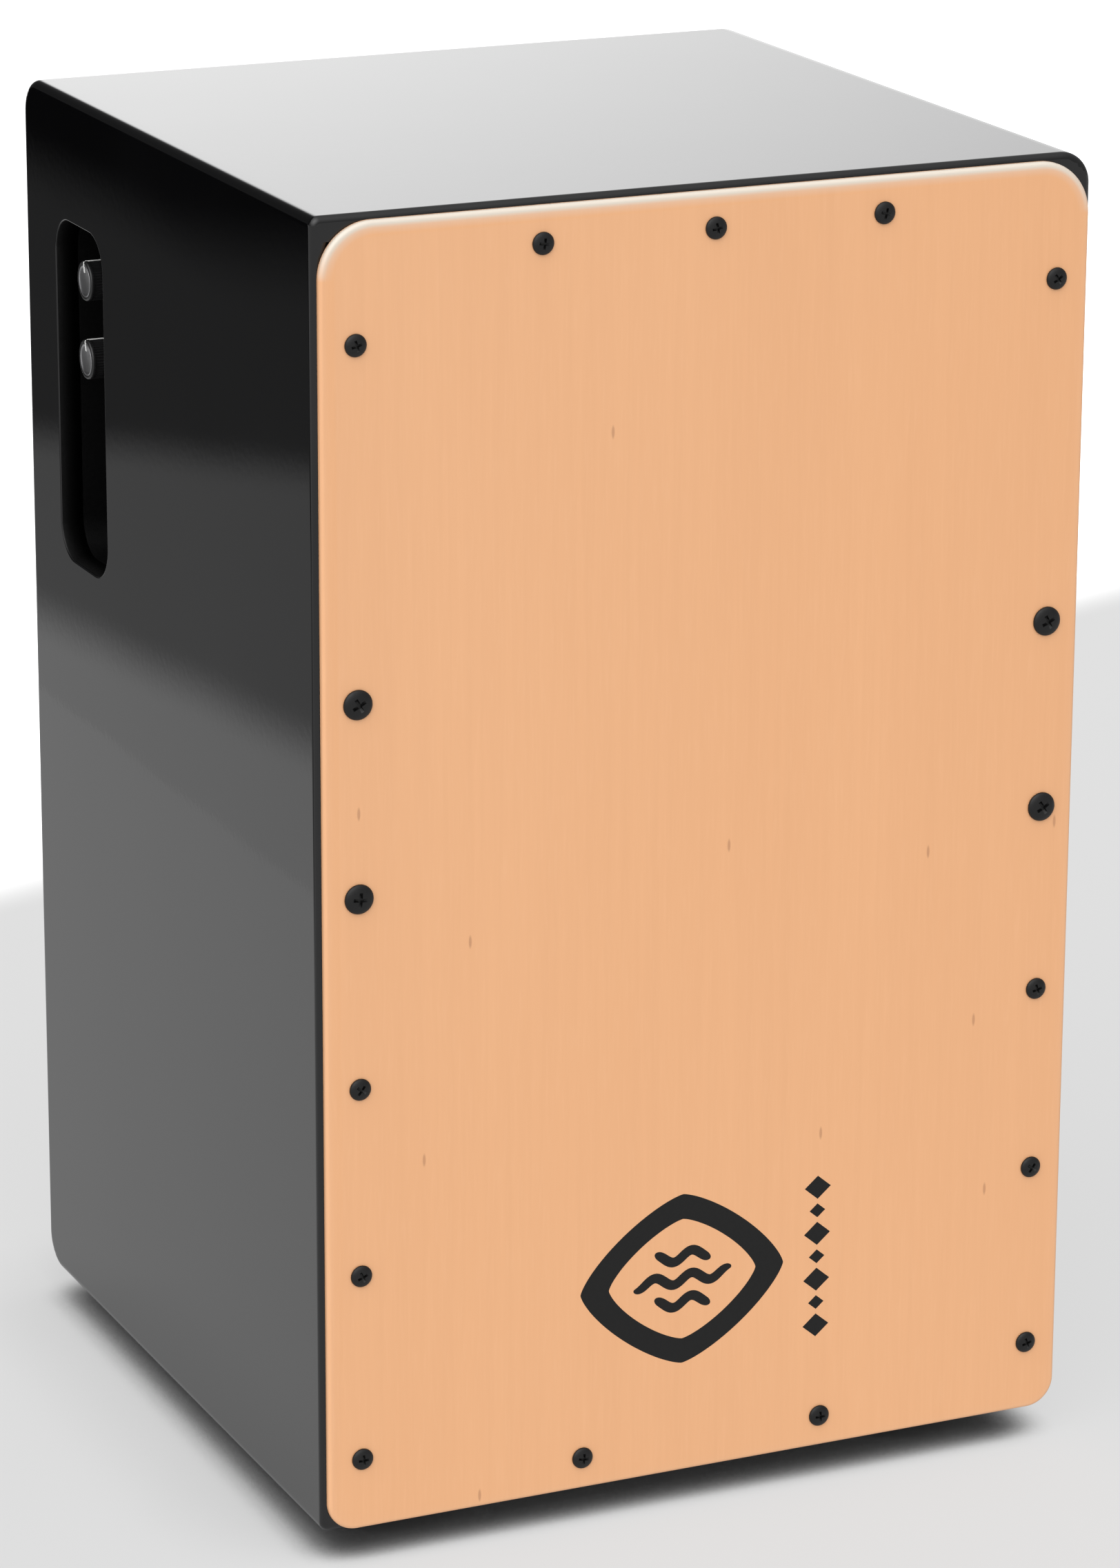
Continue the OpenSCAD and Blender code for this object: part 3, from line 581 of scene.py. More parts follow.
def onto_box(p):
    """Moves points straight onto the outside of the lacquered box."""
    step = 1e-6
    for _ in range(6):
        d = box_distance(p)
        slope = [box_distance(p + step * axis) - box_distance(p - step * axis) for axis in np.eye(3)]
        slope = np.stack(slope, axis=1)
        slope /= np.maximum(np.linalg.norm(slope, axis=1, keepdims=True), 1e-12)
        p = p - d[:, None] * slope
    return p


def edge_steps(r, count):
    """Distances from an edge that spread points evenly round a quarter circle of radius r."""
    return [r * (1 - math.tan(math.pi / 4 * k / count)) for k in range(count + 1)]


def stations(low, high, low_steps, high_steps):
    values = {round(low + s, 7) for s in low_steps} | {round(high - s, 7) for s in high_steps}
    return sorted(values)


def box_mesh():
    """The outside as a grid of squares, moved onto the rounded box, with the front open."""
    left = edge_steps(LEFT_EDGE_R, 5)
    right = edge_steps(RIGHT_EDGE_R, 8)
    rear = edge_steps(REAR_EDGE_R, 9)
    front = edge_steps(FRONT_EDGE_R, 4)
    ends = left + right + rear + front + [WALL]
    xs = stations(BOX_LO.x, BOX_HI.x, left + front + [WALL], right + front + [WALL])
    ys = stations(BOX_LO.y, BOX_HI.y, front + left + right, ends)
    zs = stations(BOX_LO.z, BOX_HI.z, ends, ends)
    index, verts, faces = {}, [], []

    def vertex(point):
        key = tuple(round(c, 7) for c in point)
        if key not in index:
            index[key] = len(verts)
            verts.append(key)
        return index[key]

    def wall(us, vs, place, skip=None):
        for i in range(len(us) - 1):
            for j in range(len(vs) - 1):
                if skip and skip((us[i] + us[i + 1]) / 2, (vs[j] + vs[j + 1]) / 2):
                    continue
                quad = [(us[i], vs[j]), (us[i + 1], vs[j]), (us[i + 1], vs[j + 1]), (us[i], vs[j + 1])]
                faces.append([vertex(place(u, v)) for u, v in quad])

    def in_opening(x, z):
        across = BOX_LO.x + WALL < x < BOX_HI.x - WALL
        return across and BOX_LO.z + WALL < z < BOX_HI.z - WALL

    for x in (BOX_LO.x, BOX_HI.x):
        wall(ys, zs, lambda u, v: (x, u, v))
    for z in (BOX_LO.z, BOX_HI.z):
        wall(xs, ys, lambda u, v: (u, v, z))
    wall(xs, zs, lambda u, v: (u, BOX_HI.y, v))
    wall(xs, zs, lambda u, v: (u, BOX_LO.y, v), in_opening)
    return onto_box(np.array(verts)), faces


def box_shell():
    """The box with its cavity, before the slot and the sound hole are cut."""
    mesh = mesh_from("lacquered_box", *box_mesh())
    bm = bmesh.new()
    bm.from_mesh(mesh)
    rim = [e for e in bm.edges if e.is_boundary]
    grown = bmesh.ops.extrude_edge_only(bm, edges=rim)
    for v in grown["geom"]:
        if isinstance(v, bmesh.types.BMVert):
            v.co.y = REAR_LO.y
    bmesh.ops.contextual_create(bm, geom=[e for e in bm.edges if e.is_boundary])
    bmesh.ops.recalc_face_normals(bm, faces=bm.faces[:])
    bm.to_mesh(mesh)
    bm.free()
    return mesh


def cutter(name, outline, place):
    """A prism through the box's wall: place puts an outline's point at depth 0 or 1."""
    n = len(outline)
    verts = [place(p, 0) for p in outline] + [place(p, 1) for p in outline]
    faces = [list(range(n))[::-1], list(range(n, 2 * n))]
    faces += [[i, (i + 1) % n, n + (i + 1) % n, n + i] for i in range(n)]
    tool = bpy.data.objects.new(name, outward(mesh_from(name, verts, faces)))
    bpy.context.scene.collection.objects.link(tool)
    return tool


def cut_away(mesh, tools):
    """The mesh less its tools, which are deleted."""
    work = bpy.data.objects.new("work", mesh)
    bpy.context.scene.collection.objects.link(work)
    for tool in tools:
        modifier = work.modifiers.new("cut", "BOOLEAN")
        modifier.operation = "DIFFERENCE"
        modifier.solver = "EXACT"
        modifier.object = tool
    depsgraph = bpy.context.evaluated_depsgraph_get()
    cut = bpy.data.meshes.new_from_object(work.evaluated_get(depsgraph))
    for spare in [work, *tools]:
        bpy.data.objects.remove(spare)
    return cut


def without_slivers(mesh):
    """Splits a cut mesh into triangles and takes out those without area."""
    bm = bmesh.new()
    bm.from_mesh(mesh)
    bmesh.ops.remove_doubles(bm, verts=bm.verts[:], dist=2e-6)
    bmesh.ops.triangulate(bm, faces=bm.faces[:])
    bmesh.ops.dissolve_degenerate(bm, edges=bm.edges[:], dist=2e-6)
    bm.to_mesh(mesh)
    bm.free()
    return mesh


def round_rim(mesh, on_rim, width):
    """Rounds the sharp edges of a hole whose ends both pass a test."""
    bm = bmesh.new()
    bm.from_mesh(mesh)
    edges = [e for e in bm.edges if all(on_rim(v.co) for v in e.verts) and e.calc_face_angle(0) > 1.0]
    bmesh.ops.bevel(bm, geom=edges, offset=width, segments=5, profile=0.5, affect="EDGES", clamp_overlap=True)
    bm.to_mesh(mesh)
    bm.free()


def build_box():
    reach = 5 * MM
    near = 1e-5
    port_z = BOX_HI.z - PORT_DROP
    low = (TUB_LO.y + TUB_FLANGE, TUB_LO.z + TUB_FLANGE)
    high = (TUB_HI.y - TUB_FLANGE, TUB_HI.z - TUB_FLANGE)
    depth = WALL + 2 * reach
    slot_outline = rounded_outline(low, high, [SLOT_R] * 4, steps=14)
    turns = np.linspace(0, 2 * math.pi, 96, endpoint=False)
    port_outline = [(PORT_R * math.cos(a), port_z + PORT_R * math.sin(a)) for a in turns]
    slot = cutter("slot_cutter", slot_outline, lambda p, d: (BOX_LO.x - reach + d * depth, p[0], p[1]))
    port = cutter("port_cutter", port_outline, lambda p, d: (p[0], REAR_LO.y - reach + d * depth, p[1]))
    mesh = cut_away(box_shell(), [slot, port])

    def at_slot(co):
        across = low[0] - near < co.y < high[0] + near and low[1] - near < co.z < high[1] + near
        return across and abs(co.x - BOX_LO.x) < near

    def at_port(co):
        return abs(co.y - BOX_HI.y) < near and abs(math.hypot(co.x, co.z - port_z) - PORT_R) < 20 * near

    round_rim(mesh, at_slot, SLOT_RIM)
    round_rim(mesh, at_port, PORT_RIM)
    panels = ["left_side_panel", "right_side_panel", "top_panel", "bottom_panel", "rear_panel"]
    add_piece("lacquered_box", mesh, [M_LACQUER, M_INSIDE, M_CUT], panels)
    skin = 0.2 * MM
    for polygon in mesh.polygons:
        c = polygon.center
        if BOX_LO.x + skin < c.x < LEFT_HI.x - skin and at_slot(Vector((BOX_LO.x, c.y, c.z))):
            polygon.material_index = 2
            continue
        across = BOX_LO.x + WALL - skin < c.x < BOX_HI.x - WALL + skin
        upright = BOX_LO.z + WALL - skin < c.z < BOX_HI.z - WALL + skin
        inside = BOX_LO.y + FRONT_EDGE_R < c.y < REAR_LO.y + skin
        polygon.material_index = 1 if across and upright and inside else 0


build_box()

# ---------- the playing face ----------

FACE_ROUND = 1.4 * MM
BACK_ROUND = 0.3 * MM
# rings over the front, as inset from the outline, sag behind the front, and how strongly the painted
# highlight of the top edge shows on them
FACE_RINGS = [(1.8, 0.02, 0.75), (2.6, 0.01, 0.3), (3.6, 0.0, 0.16), (5.0, 0.0, 0.0)]
# how far in from the top-left corner its painted highlight reaches
HIGHLIGHT_CORNER = 7 * MM
# how much of the painted edge highlight the sides and the bottom keep, next to the top
SIDE_HIGHLIGHT = 0.04


def face_profile():
    """(inset, y, painted highlight) from the back of the face, round its edge, to its front."""
    steps = 7
    rows = [(BACK_ROUND, PLATE_HI.y, 0.0), (0.0, PLATE_HI.y - BACK_ROUND, 0.0)]
    for k in range(steps + 1):
        turn = math.pi / 2 * k / steps
        y = PLATE_LO.y + 0.03 * MM + FACE_ROUND * (1 - math.sin(turn))
        rows.append((FACE_ROUND * (1 - math.cos(turn)), y, 1.0))
    rows += [(inset * MM, PLATE_LO.y + sag * MM, highlight) for inset, sag, highlight in FACE_RINGS]
    return rows


def build_face():
    radii = [PLATE_BOTTOM_R, PLATE_BOTTOM_R, PLATE_TOP_R, PLATE_TOP_R]
    low, high = (PLATE_LO.x, PLATE_LO.z), (PLATE_HI.x, PLATE_HI.z)
    steps = 16
    bm = bmesh.new()
    edge_highlight = bm.verts.layers.float.new("edge_highlight")
    loops = []
    for inset, y, highlight in face_profile():
        loop = []
        for i, (x, z) in enumerate(rounded_outline(low, high, radii, inset, steps)):
            v = bm.verts.new((x, y, z))
            corner, k = divmod(i, steps + 1)
            # painted highlight: strongest where the rounded edge faces up toward the light, faint on the
            # sides, with a wider patch round the top-left corner
            rise = math.sin(math.pi * (1 + corner / 2 + k / steps / 2))
            top_left = math.sin(math.pi * k / steps) if corner == 3 else 0
            share = SIDE_HIGHLIGHT + (1 - SIDE_HIGHLIGHT) * max(0, rise) ** 0.5
            v[edge_highlight] = min(1.0, highlight * share + 0.2 * top_left * max(0, 1 - inset / HIGHLIGHT_CORNER))
            loop.append(v)
        loops.append(loop)
    n = len(loops[0])
    for a, b in zip(loops, loops[1:]):
        for i in range(n):
            bm.faces.new((a[i], a[(i + 1) % n], b[(i + 1) % n], b[i]))
    bm.faces.new(loops[-1])
    bm.faces.new(loops[0][::-1])
    bmesh.ops.recalc_face_normals(bm, faces=bm.faces[:])
    for face in bm.faces:
        face.material_index = 0 if face.calc_center_median().y < PLATE_LO.y + 0.9 * FACE_ROUND else 1
    add_piece("playing_face", mesh_of("playing_face", bm), [M_FACE, M_PLIES], ["front_plate"])


build_face()

# ---------- the printed mark ----------

INK = 0.04 * MM
# centre of the badge, from the face's middle and its lower edge
BADGE_X = -8.5 * MM
BADGE_RISE = 77 * MM
# the soft diamond's half width, half height, the width of its stroke and its roundness
BADGE_HALF_W = 41.5 * MM
BADGE_HALF_H = 33.5 * MM
BADGE_STROKE = 8.5 * MM
BADGE_POWER = 1.35
# the waves, in millimetres: height above the badge's centre and half length of each, then their shape
WAVES = [(9.0, 11.5), (0.0, 20.0), (-9.0, 11.5)]
WAVE_PITCH = 15
WAVE_HEIGHT = 1.9
WAVE_HALF = 1.9
# the column of diamonds: their number, distance from the badge's centre, pitch, half width and half
# height, and how large every second one is beside the others
DIAMONDS = 7
DIAMOND_X = 55.5 * MM
DIAMOND_PITCH = 9.2 * MM
DIAMOND_HALF_W = 5.4 * MM
DIAMOND_HALF_H = 4.6 * MM
SMALL_DIAMOND = 0.6


def print_shapes(name, shapes):
    """Prints flat shapes on the face: each is a list of strips, from one row of points to the next."""
    bm = bmesh.new()
    for lower, upper, closed in shapes:
        rows = [[bm.verts.new((x, PLATE_LO.y - INK, z)) for x, z in row] for row in (lower, upper)]
        n = len(rows[0])
        for i in range(n if closed else n - 1):
            j = (i + 1) % n
            bm.faces.new((rows[0][i], rows[0][j], rows[1][j], rows[1][i]))
    flat = bm.faces[:]
    grown = bmesh.ops.extrude_face_region(bm, geom=flat)
    for v in grown["geom"]:
        if isinstance(v, bmesh.types.BMVert):
            v.co.y = PLATE_LO.y + INK
    bmesh.ops.recalc_face_normals(bm, faces=bm.faces[:])
    add_piece(name, mesh_of(name, bm), [M_INK], smooth=False)


def superellipse(centre, half_w, half_h, power, steps):
    points = []
    for k in range(steps):
        angle = 2 * math.pi * k / steps
        c, s = math.cos(angle), math.sin(angle)
        x = math.copysign(abs(c) ** (2 / power), c)
        z = math.copysign(abs(s) ** (2 / power), s)
        points.append((centre[0] + half_w * x, centre[1] + half_h * z))
    return points


def badge_ring(centre):
    outer = superellipse(centre, BADGE_HALF_W, BADGE_HALF_H, BADGE_POWER, 160)
    inner_w = BADGE_HALF_W - 1.35 * BADGE_STROKE
    inner_h = BADGE_HALF_H - 1.15 * BADGE_STROKE
    return outer, superellipse(centre, inner_w, inner_h, BADGE_POWER, 160), True


def badge_wave(centre, rise, reach):
    """A stroke of even width along a sine, with rounded ends."""
    xs = reach * np.sin(np.linspace(-math.pi / 2, math.pi / 2, 80))
    phase = xs * 2 * math.pi / WAVE_PITCH
    crest = rise + WAVE_HEIGHT * np.sin(phase)
    slope = np.arctan(WAVE_HEIGHT * np.cos(phase) * 2 * math.pi / WAVE_PITCH)
    half = WAVE_HALF * np.sqrt(np.maximum(1 - (xs / reach) ** 8, 0.0)) + 0.02
    rows = []
    for sign in (-1, 1):
        edge = zip(xs - sign * half * np.sin(slope), crest + sign * half * np.cos(slope))
        rows.append([(centre[0] + x * MM, centre[1] + z * MM) for x, z in edge])
    return rows[0], rows[1], False


def badge_diamond(centre, i):
    size = 1.0 if i % 2 == 0 else SMALL_DIAMOND
    x, z = centre[0] + DIAMOND_X, centre[1] + (i - DIAMONDS // 2) * DIAMOND_PITCH
    w, h = DIAMOND_HALF_W * size, DIAMOND_HALF_H * size
    return [(x - w, z), (x, z - h)], [(x, z + h), (x + w, z)], False


def build_mark():
    """A generic badge: a soft diamond round three waves, and a column of small diamonds beside it."""
    centre = (BADGE_X, PLATE_LO.z + BADGE_RISE)
    waves = [badge_wave(centre, rise, reach) for rise, reach in WAVES]
    diamonds = [badge_diamond(centre, i) for i in range(DIAMONDS)]
    print_shapes("printed_mark", [badge_ring(centre), *waves, *diamonds])


build_mark()

# ---------- the face screws ----------


def screw_spots():
    """Places of the small and the large screws on the face."""
    column = PLATE_HI.x - COLUMN_INSET
    small = [(i * TOP_ROW_PITCH, PLATE_HI.z - TOP_ROW_DROP) for i in (-1, 0, 1)]
    small += [(s * BOTTOM_ROW_GAP / 2, PLATE_LO.z + BOTTOM_ROW_RISE) for s in (-1, 1)]
    small += [(s * column, PLATE_HI.z - HIGHEST_COLUMN_DROP) for s in (-1, 1)]
    rungs = [PLATE_LO.z + LOWEST_COLUMN + i * COLUMN_PITCH for i in range(5)]
    small += [(s * column, z) for s in (-1, 1) for z in rungs[:3]]
    large = [(s * column, z) for s in (-1, 1) for z in rungs[3:]]
    return small, large


def screw_mesh(head_r, head_h, shank_r, length):
    """One pan-head screw standing on z = 0, with its cross recess."""
    turns = np.linspace(0, 1.45, 12)
    dome = [(head_r * math.cos(a), head_h * (0.25 + 0.75 * math.sin(a))) for a in turns]
    profile = [(0, -length), (shank_r, -length + 2 * shank_r), (shank_r, 0), (head_r - 0.15 * MM, 0)]
    profile += [(head_r, 0.12 * head_h)] + dome + [(0, head_h)]
    verts, faces = lathe(profile, 48, lambda x, y, z: (x, y, z))
    mesh = outward(mesh_from("screw", verts, faces))
    half, slit, depth = head_r * 0.5, head_r * 0.13, head_h * 0.62
    tools = []
    for turn in (0, math.pi / 2):
        c, s = math.cos(turn), math.sin(turn)
        outline = [(-half, -slit), (half, -slit), (half, slit), (-half, slit)]

        def place(p, d, c=c, s=s):
            narrow = 1.25 if d else 0.55
            x, y = p[0] * narrow, p[1] * (1 if d else 0.7)
            z = head_h * 1.2 if d else head_h - depth
            return (x * c - y * s, x * s + y * c, z)

        tools.append(cutter("cross", outline, place))
    return without_slivers(cut_away(mesh, tools))


def build_screws(name, spots, size, seed):
    """One piece of all the screws of a size, each with its recess turned its own way."""
    rng = random.Random(seed)
    one = screw_mesh(*size)
    bm = bmesh.new()
    for x, z in spots:
        fresh = bmesh.new()
        fresh.from_mesh(one)
        turn = Matrix.Rotation(rng.uniform(0, math.pi), 4, "Z")
        stand = Matrix.Translation((x, PLATE_LO.y, z)) @ Matrix.Rotation(math.pi / 2, 4, "X")
        bmesh.ops.transform(fresh, matrix=stand @ turn, verts=fresh.verts)
        part = bpy.data.meshes.new("part")
        fresh.to_mesh(part)
        fresh.free()
        bm.from_mesh(part)
    add_piece(name + "_finished", sharpen(mesh_of(name, bm)), [M_SCREW], [name])


SMALL_SPOTS, LARGE_SPOTS = screw_spots()
build_screws("plate_screws", SMALL_SPOTS, SMALL_SCREW, 11)
build_screws("plate_screws_large", LARGE_SPOTS, LARGE_SCREW, 12)

# ---------- the knobs ----------

# all in millimetres; heights count from the knob's back to its face
KNOB_R = 7.7
RIM_R = 0.8
CAP_R = 6.3
WAIST_R = 7.45
GRIP_LOW = 2.4
GRIP_HIGH = 11.3
FLUTES = 44
FLUTE_DEPTH = 0.22
BORE_R = 3.02
BORE_DEPTH = 7.3
LINE_HALF = 0.36
LINE_THICK = 0.25


def knob_profile(length):
    """(radius, height) from the cap's seat, over the rim and the grip and down to the shaft's bore."""
    seat = length - RIM_R
    turns = np.linspace(math.pi / 2, 0, 6)
    rim = [(KNOB_R + RIM_R * (math.cos(a) - 1), seat + RIM_R * math.sin(a)) for a in turns]
    grip = [(WAIST_R, GRIP_HIGH + (GRIP_LOW - GRIP_HIGH) * k / 6) for k in range(7)]
    foot = [(KNOB_R, GRIP_LOW - 0.3), (KNOB_R, 0.4), (KNOB_R - 0.3, 0.0)]
    bore = [(BORE_R, 0), (BORE_R, BORE_DEPTH), (0, BORE_DEPTH)]
    top = [(0, seat), (CAP_R + 0.05, seat), (CAP_R + 0.05, length - 0.1)]
    return top + rim + [(KNOB_R, GRIP_HIGH + 0.3)] + grip + foot + bore


def cap_profile(length):
    """The metal inlay: a flat rim round a face that is dished a little."""
    rim = [(0, length - 0.8), (CAP_R, length - 0.8), (CAP_R, length - 0.25), (CAP_R - 0.2, length - 0.05)]
    rim.append((CAP_R - 0.6, length - 0.05))
    dish = [(r, length - 0.6 + 0.42 * (r / CAP_R) ** 2) for r in np.linspace(CAP_R - 0.9, 0, 10)]
    return rim + dish


def pointer_mesh(name, length, place):
    """A thin line that runs out over the face and down the side of the knob."""
    outer = KNOB_R + 0.05
    path = [(CAP_R - 3.0, length - 0.15), (CAP_R - 0.1, length + 0.04), (7.0, length + 0.05)]
    path += [(7.4, length - 0.15), (7.68, length - 0.6), (outer, length - 1.1), (outer, 3.0)]
    corners = [(drop, side * LINE_HALF) for drop in (0, LINE_THICK) for side in (-1, 1)]
    verts = [place(r - drop, across, h - drop) for r, h in path for drop, across in corners]
    faces = []
    for i in range(len(path) - 1):
        a = 4 * i
        faces += [[a, a + 1, a + 5, a + 4], [a + 2, a + 6, a + 7, a + 3], [a, a + 4, a + 6, a + 2]]
        faces.append([a + 1, a + 3, a + 7, a + 5])
    end = 4 * (len(path) - 1)
    faces += [[0, 2, 3, 1], [end, end + 1, end + 3, end + 2]]
    return outward(mesh_from(name, verts, faces))


def build_knob(name, body):
    """A fluted knob, its metal cap and its pointer, about the axis of the CAD knob."""
    lo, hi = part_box(name)
    centre = ((lo.y + hi.y) / 2, (lo.z + hi.z) / 2)
    length = (hi.x - lo.x) / MM

    def place(x, y, height):
        return (hi.x - height * MM, centre[0] + y * MM, centre[1] + x * MM)

    def flute(angle, height):
        in_grip = GRIP_LOW - 0.1 < height < GRIP_HIGH + 0.1
        return FLUTE_DEPTH * max(math.cos(angle * FLUTES), -0.4) if in_grip else 0

    mesh = outward(mesh_from(name, *lathe(knob_profile(length), FLUTES * 6, place, flute)))
    add_piece(name + "_finished", sharpen(mesh, 40), [M_KNOB], [name], body)
    mesh = outward(mesh_from(name + "_cap", *lathe(cap_profile(length), 96, place)))
    ring = mesh.attributes.new("ring", "FLOAT", "POINT")
    for v, value in zip(mesh.vertices, ring.data):
        value.value = math.hypot(v.co.y - centre[0], v.co.z - centre[1])
    add_piece(name + "_cap_finished", sharpen(mesh), [M_CAP], [name + "_cap"], body)
    mesh = pointer_mesh(name + "_line", length, place)
    add_piece(name + "_line", mesh, [M_LINE], body=body, smooth=False)


build_knob("volume_knob", "volume_control")
build_knob("tone_knob", "tone_control")

# ---------- snare strands ----------


def build_strands(name, seed):
    """Fine coiled wires, each wound along its own strand's axis."""
    lo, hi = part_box(name)
    rng = random.Random(seed)
    wire, turn_pitch, per_turn, sides = 0.28 * MM, 2.1 * MM, 8, 6
    pitch = (hi.x - lo.x - 2 * STRAND_R) / (STRANDS - 1)
    coil_r = STRAND_R - wire
    turns = (hi.z - lo.z - 2 * wire) / turn_pitch
    count = int(turns * per_turn)
    verts, faces = [], []
    for i in range(STRANDS):
        phase = rng.uniform(0, 2 * math.pi)
        angle = phase + np.arange(count) * 2 * math.pi / per_turn
        x = lo.x + STRAND_R + i * pitch + coil_r * np.cos(angle)
        y = (lo.y + hi.y) / 2 + coil_r * np.sin(angle)
        z = lo.z + wire + np.arange(count) * turn_pitch / per_turn
        more, quads = tube(np.stack([x, y, z], axis=1), wire, sides)
        start = len(verts)
        verts += more
        faces += [[start + v for v in quad] for quad in quads]
    add_piece(name + "_coiled", mesh_from(name, verts, faces), [M_SNARE], [name])


build_strands("snare_wires_left", 21)
build_strands("snare_wires_right", 22)

# ---------- the pickup lead ----------


def build_lead():
    """The lead clipped between the piezo disc and the volume control, along the CAD's own route."""
    disc_lo, disc_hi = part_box("piezo_disc")
    pot_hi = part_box("volume_pot")[1]
    shaft_lo, shaft_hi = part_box("volume_shaft")
    front_y = BOX_LO.y / MM
    piezo_x = (disc_lo.x + disc_hi.x) / 2 / MM
    piezo_z = (disc_lo.z + disc_hi.z) / 2 / MM
    wall_run_x = (LEFT_HI.x + LEAD_R + LEAD_GAP) / MM
    wall_run_z = LEAD_WALL_Z / MM
    lead_end_x = (pot_hi.x - POT_LEN / 2) / MM
    lead_end_y = ((shaft_lo.y + shaft_hi.y) / 2 - POT_R) / MM
    volume_z = (shaft_lo.z + shaft_hi.z) / 2 / MM
    route = [
        (piezo_x - 6, front_y + 4, piezo_z),
        (piezo_x - 16, front_y + 5, piezo_z),
        (piezo_x - 27, front_y + 9, piezo_z + 1),
        (piezo_x - 38, front_y + 15, piezo_z + 2),
        (piezo_x - 50, front_y + 21, piezo_z + 3),
        (piezo_x - 62, front_y + 25, piezo_z + 4),
        (piezo_x - 74, front_y + 29, piezo_z + 6),
        (piezo_x - 84, front_y + 36, piezo_z + 9),
        (wall_run_x + 1, front_y + 46, wall_run_z - 1),
        (wall_run_x, front_y + 57, wall_run_z),
        (wall_run_x, front_y + 66, wall_run_z),
        (wall_run_x, front_y + 76, wall_run_z),
        (wall_run_x, front_y + 88, wall_run_z),
        (wall_run_x, front_y + 100, wall_run_z),
        (wall_run_x, front_y + 112, wall_run_z),
        (wall_run_x, front_y + 124, wall_run_z),
        (wall_run_x, front_y + 134, wall_run_z),
        (wall_run_x, front_y + 144, wall_run_z + 7),
        (wall_run_x, front_y + 154, wall_run_z + 24),
        (wall_run_x, front_y + 162, wall_run_z + 44),
        (wall_run_x + 1, front_y + 168, wall_run_z + 66),
        (wall_run_x + 4, front_y + 174, wall_run_z + 88),
        (wall_run_x + 8, front_y + 181, wall_run_z + 108),
        (wall_run_x + 12, front_y + 190, wall_run_z + 126),
        (lead_end_x - 1, front_y + 202, wall_run_z + 142),
        (lead_end_x, lead_end_y - 14, volume_z - 6),
        (lead_end_x, lead_end_y - 6, volume_z - 1),
        (lead_end_x, lead_end_y, volume_z),
    ]
    points = catmull_rom(route, 4) * MM
    mesh = sharpen(outward(mesh_from("pickup_lead", *tube(points, LEAD_R, 16))), 60)
    add_piece("pickup_lead_finished", mesh, [M_LEAD], ["pickup_lead"])


build_lead()

# ---------- feet ----------

# millimetres: how much narrower a foot is at the floor, its screw's recess and hole, and the recess's depth
FOOT_TAPER = 2
FOOT_RECESS_R = 7.5
FOOT_HOLE_R = 2.4
FOOT_WEB = 7.0


def build_foot(name):
    """A tapered rubber foot with a groove round it and a recess for its washer and screw."""
    lo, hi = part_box(name)
    centre = ((lo.x + hi.x) / 2, (lo.y + hi.y) / 2)
    top_r = (hi.x - lo.x) / 2 / MM
    height = (hi.z - lo.z) / MM
    low_r = top_r - FOOT_TAPER

    def slope(z):
        return low_r + (top_r - low_r) * z / height

    profile = [(FOOT_RECESS_R, 0.0), (low_r - 1.4, 0.0), (low_r - 0.6, 0.25), (low_r - 0.05, 0.9)]
    profile += [(slope(3.2), 3.2), (slope(3.2) - 0.5, 3.5), (slope(4.6) - 0.5, 4.3), (slope(4.6), 4.6)]
    profile += [(slope(height - 0.6), height - 0.6), (top_r - 0.6, height)]
    profile += [(FOOT_HOLE_R, height), (FOOT_HOLE_R, FOOT_WEB), (FOOT_RECESS_R, FOOT_WEB)]

    def place(x, y, z):
        return (centre[0] + x * MM, centre[1] + y * MM, lo.z + z * MM)

    mesh = sharpen(outward(mesh_from(name, *lathe(profile, 72, place))), 50)
    add_piece(name + "_finished", mesh, [M_RUBBER], [name])


for foot_name in ("foot_front_left", "foot_front_right", "foot_rear_left", "foot_rear_right"):
    build_foot(foot_name)

# ---------- the studio ----------

FLOOR_DIFFUSE = 0.12
FLOOR_GLOW = 0.615
SKY_BASE = 0.45
# soft boxes, as direction, tightness and strength
SOFT_BOXES = [
    ((-0.55, -0.62, 0.75), 4, 2.4),
    ((-0.1, -0.2, 1.0), 3, 0.6),
    ((0.288, 0.942, 0.174), 20, 1.65),
]
# a dark corner of the studio, behind the object's left side
DARK_CORNER = (-0.466, 0.828, 0.311)
# the direction across the floor in which the backdrop burns out behind the object
BURN_ACROSS = (-0.331, 0.944, 0.0)
# painted shadows in the floor's glow: the lean of the dome whose occlusion darkens it, and the reach of that
# occlusion
CONTACT = ((0.2, -0.35, 0.9), 0.02)
CAST = ((0.4, -0.6, 0.7), 0.08)
# the flag's near edge, and the directions across it in which its glow darkens, painting the dark reflections
# in the lacquer
FLAG_EDGE = -0.44
FLAG_NEAR = (1.0, -0.14, 0.0)
FLAG_FAR = (0.79, -0.61, 0.0)


def make_world():
    world = bpy.data.worlds.new("studio")
    bpy.context.scene.world = world
    world.use_nodes = True
    n = Nodes(world.node_tree, "Generated")
    glow = SKY_BASE
    for direction, tightness, strength in SOFT_BOXES:
        lobe = n.math("MAXIMUM", n.dot(n.place, Vector(direction).normalized()), 0.0)
        glow = n.math("ADD", n.math("MULTIPLY", n.math("POWER", lobe, tightness), strength), glow)
    dark = n.fit(n.dot(n.place, DARK_CORNER), 0.72, 0.86, 1.0, 0.1, smooth=True)
    glow = n.math("MULTIPLY", glow, dark)
    seen = n.add("ShaderNodeLightPath").outputs["Is Camera Ray"]
    background = n.add("ShaderNodeBackground")
    background.inputs["Color"].default_value = (1, 1, 1, 1)
    n.put(background.inputs["Strength"], n.math("MAXIMUM", glow, seen))
    n.put(n.add("ShaderNodeOutputWorld").inputs[0], background.outputs[0])


def stage_sheet(name, corners, height):
    mesh = mesh_from(name, [(x, y, height) for x, y in corners], [[0, 1, 2, 3]])
    sheet = bpy.data.objects.new(name, mesh)
    bpy.context.scene.collection.objects.link(sheet)
    return sheet


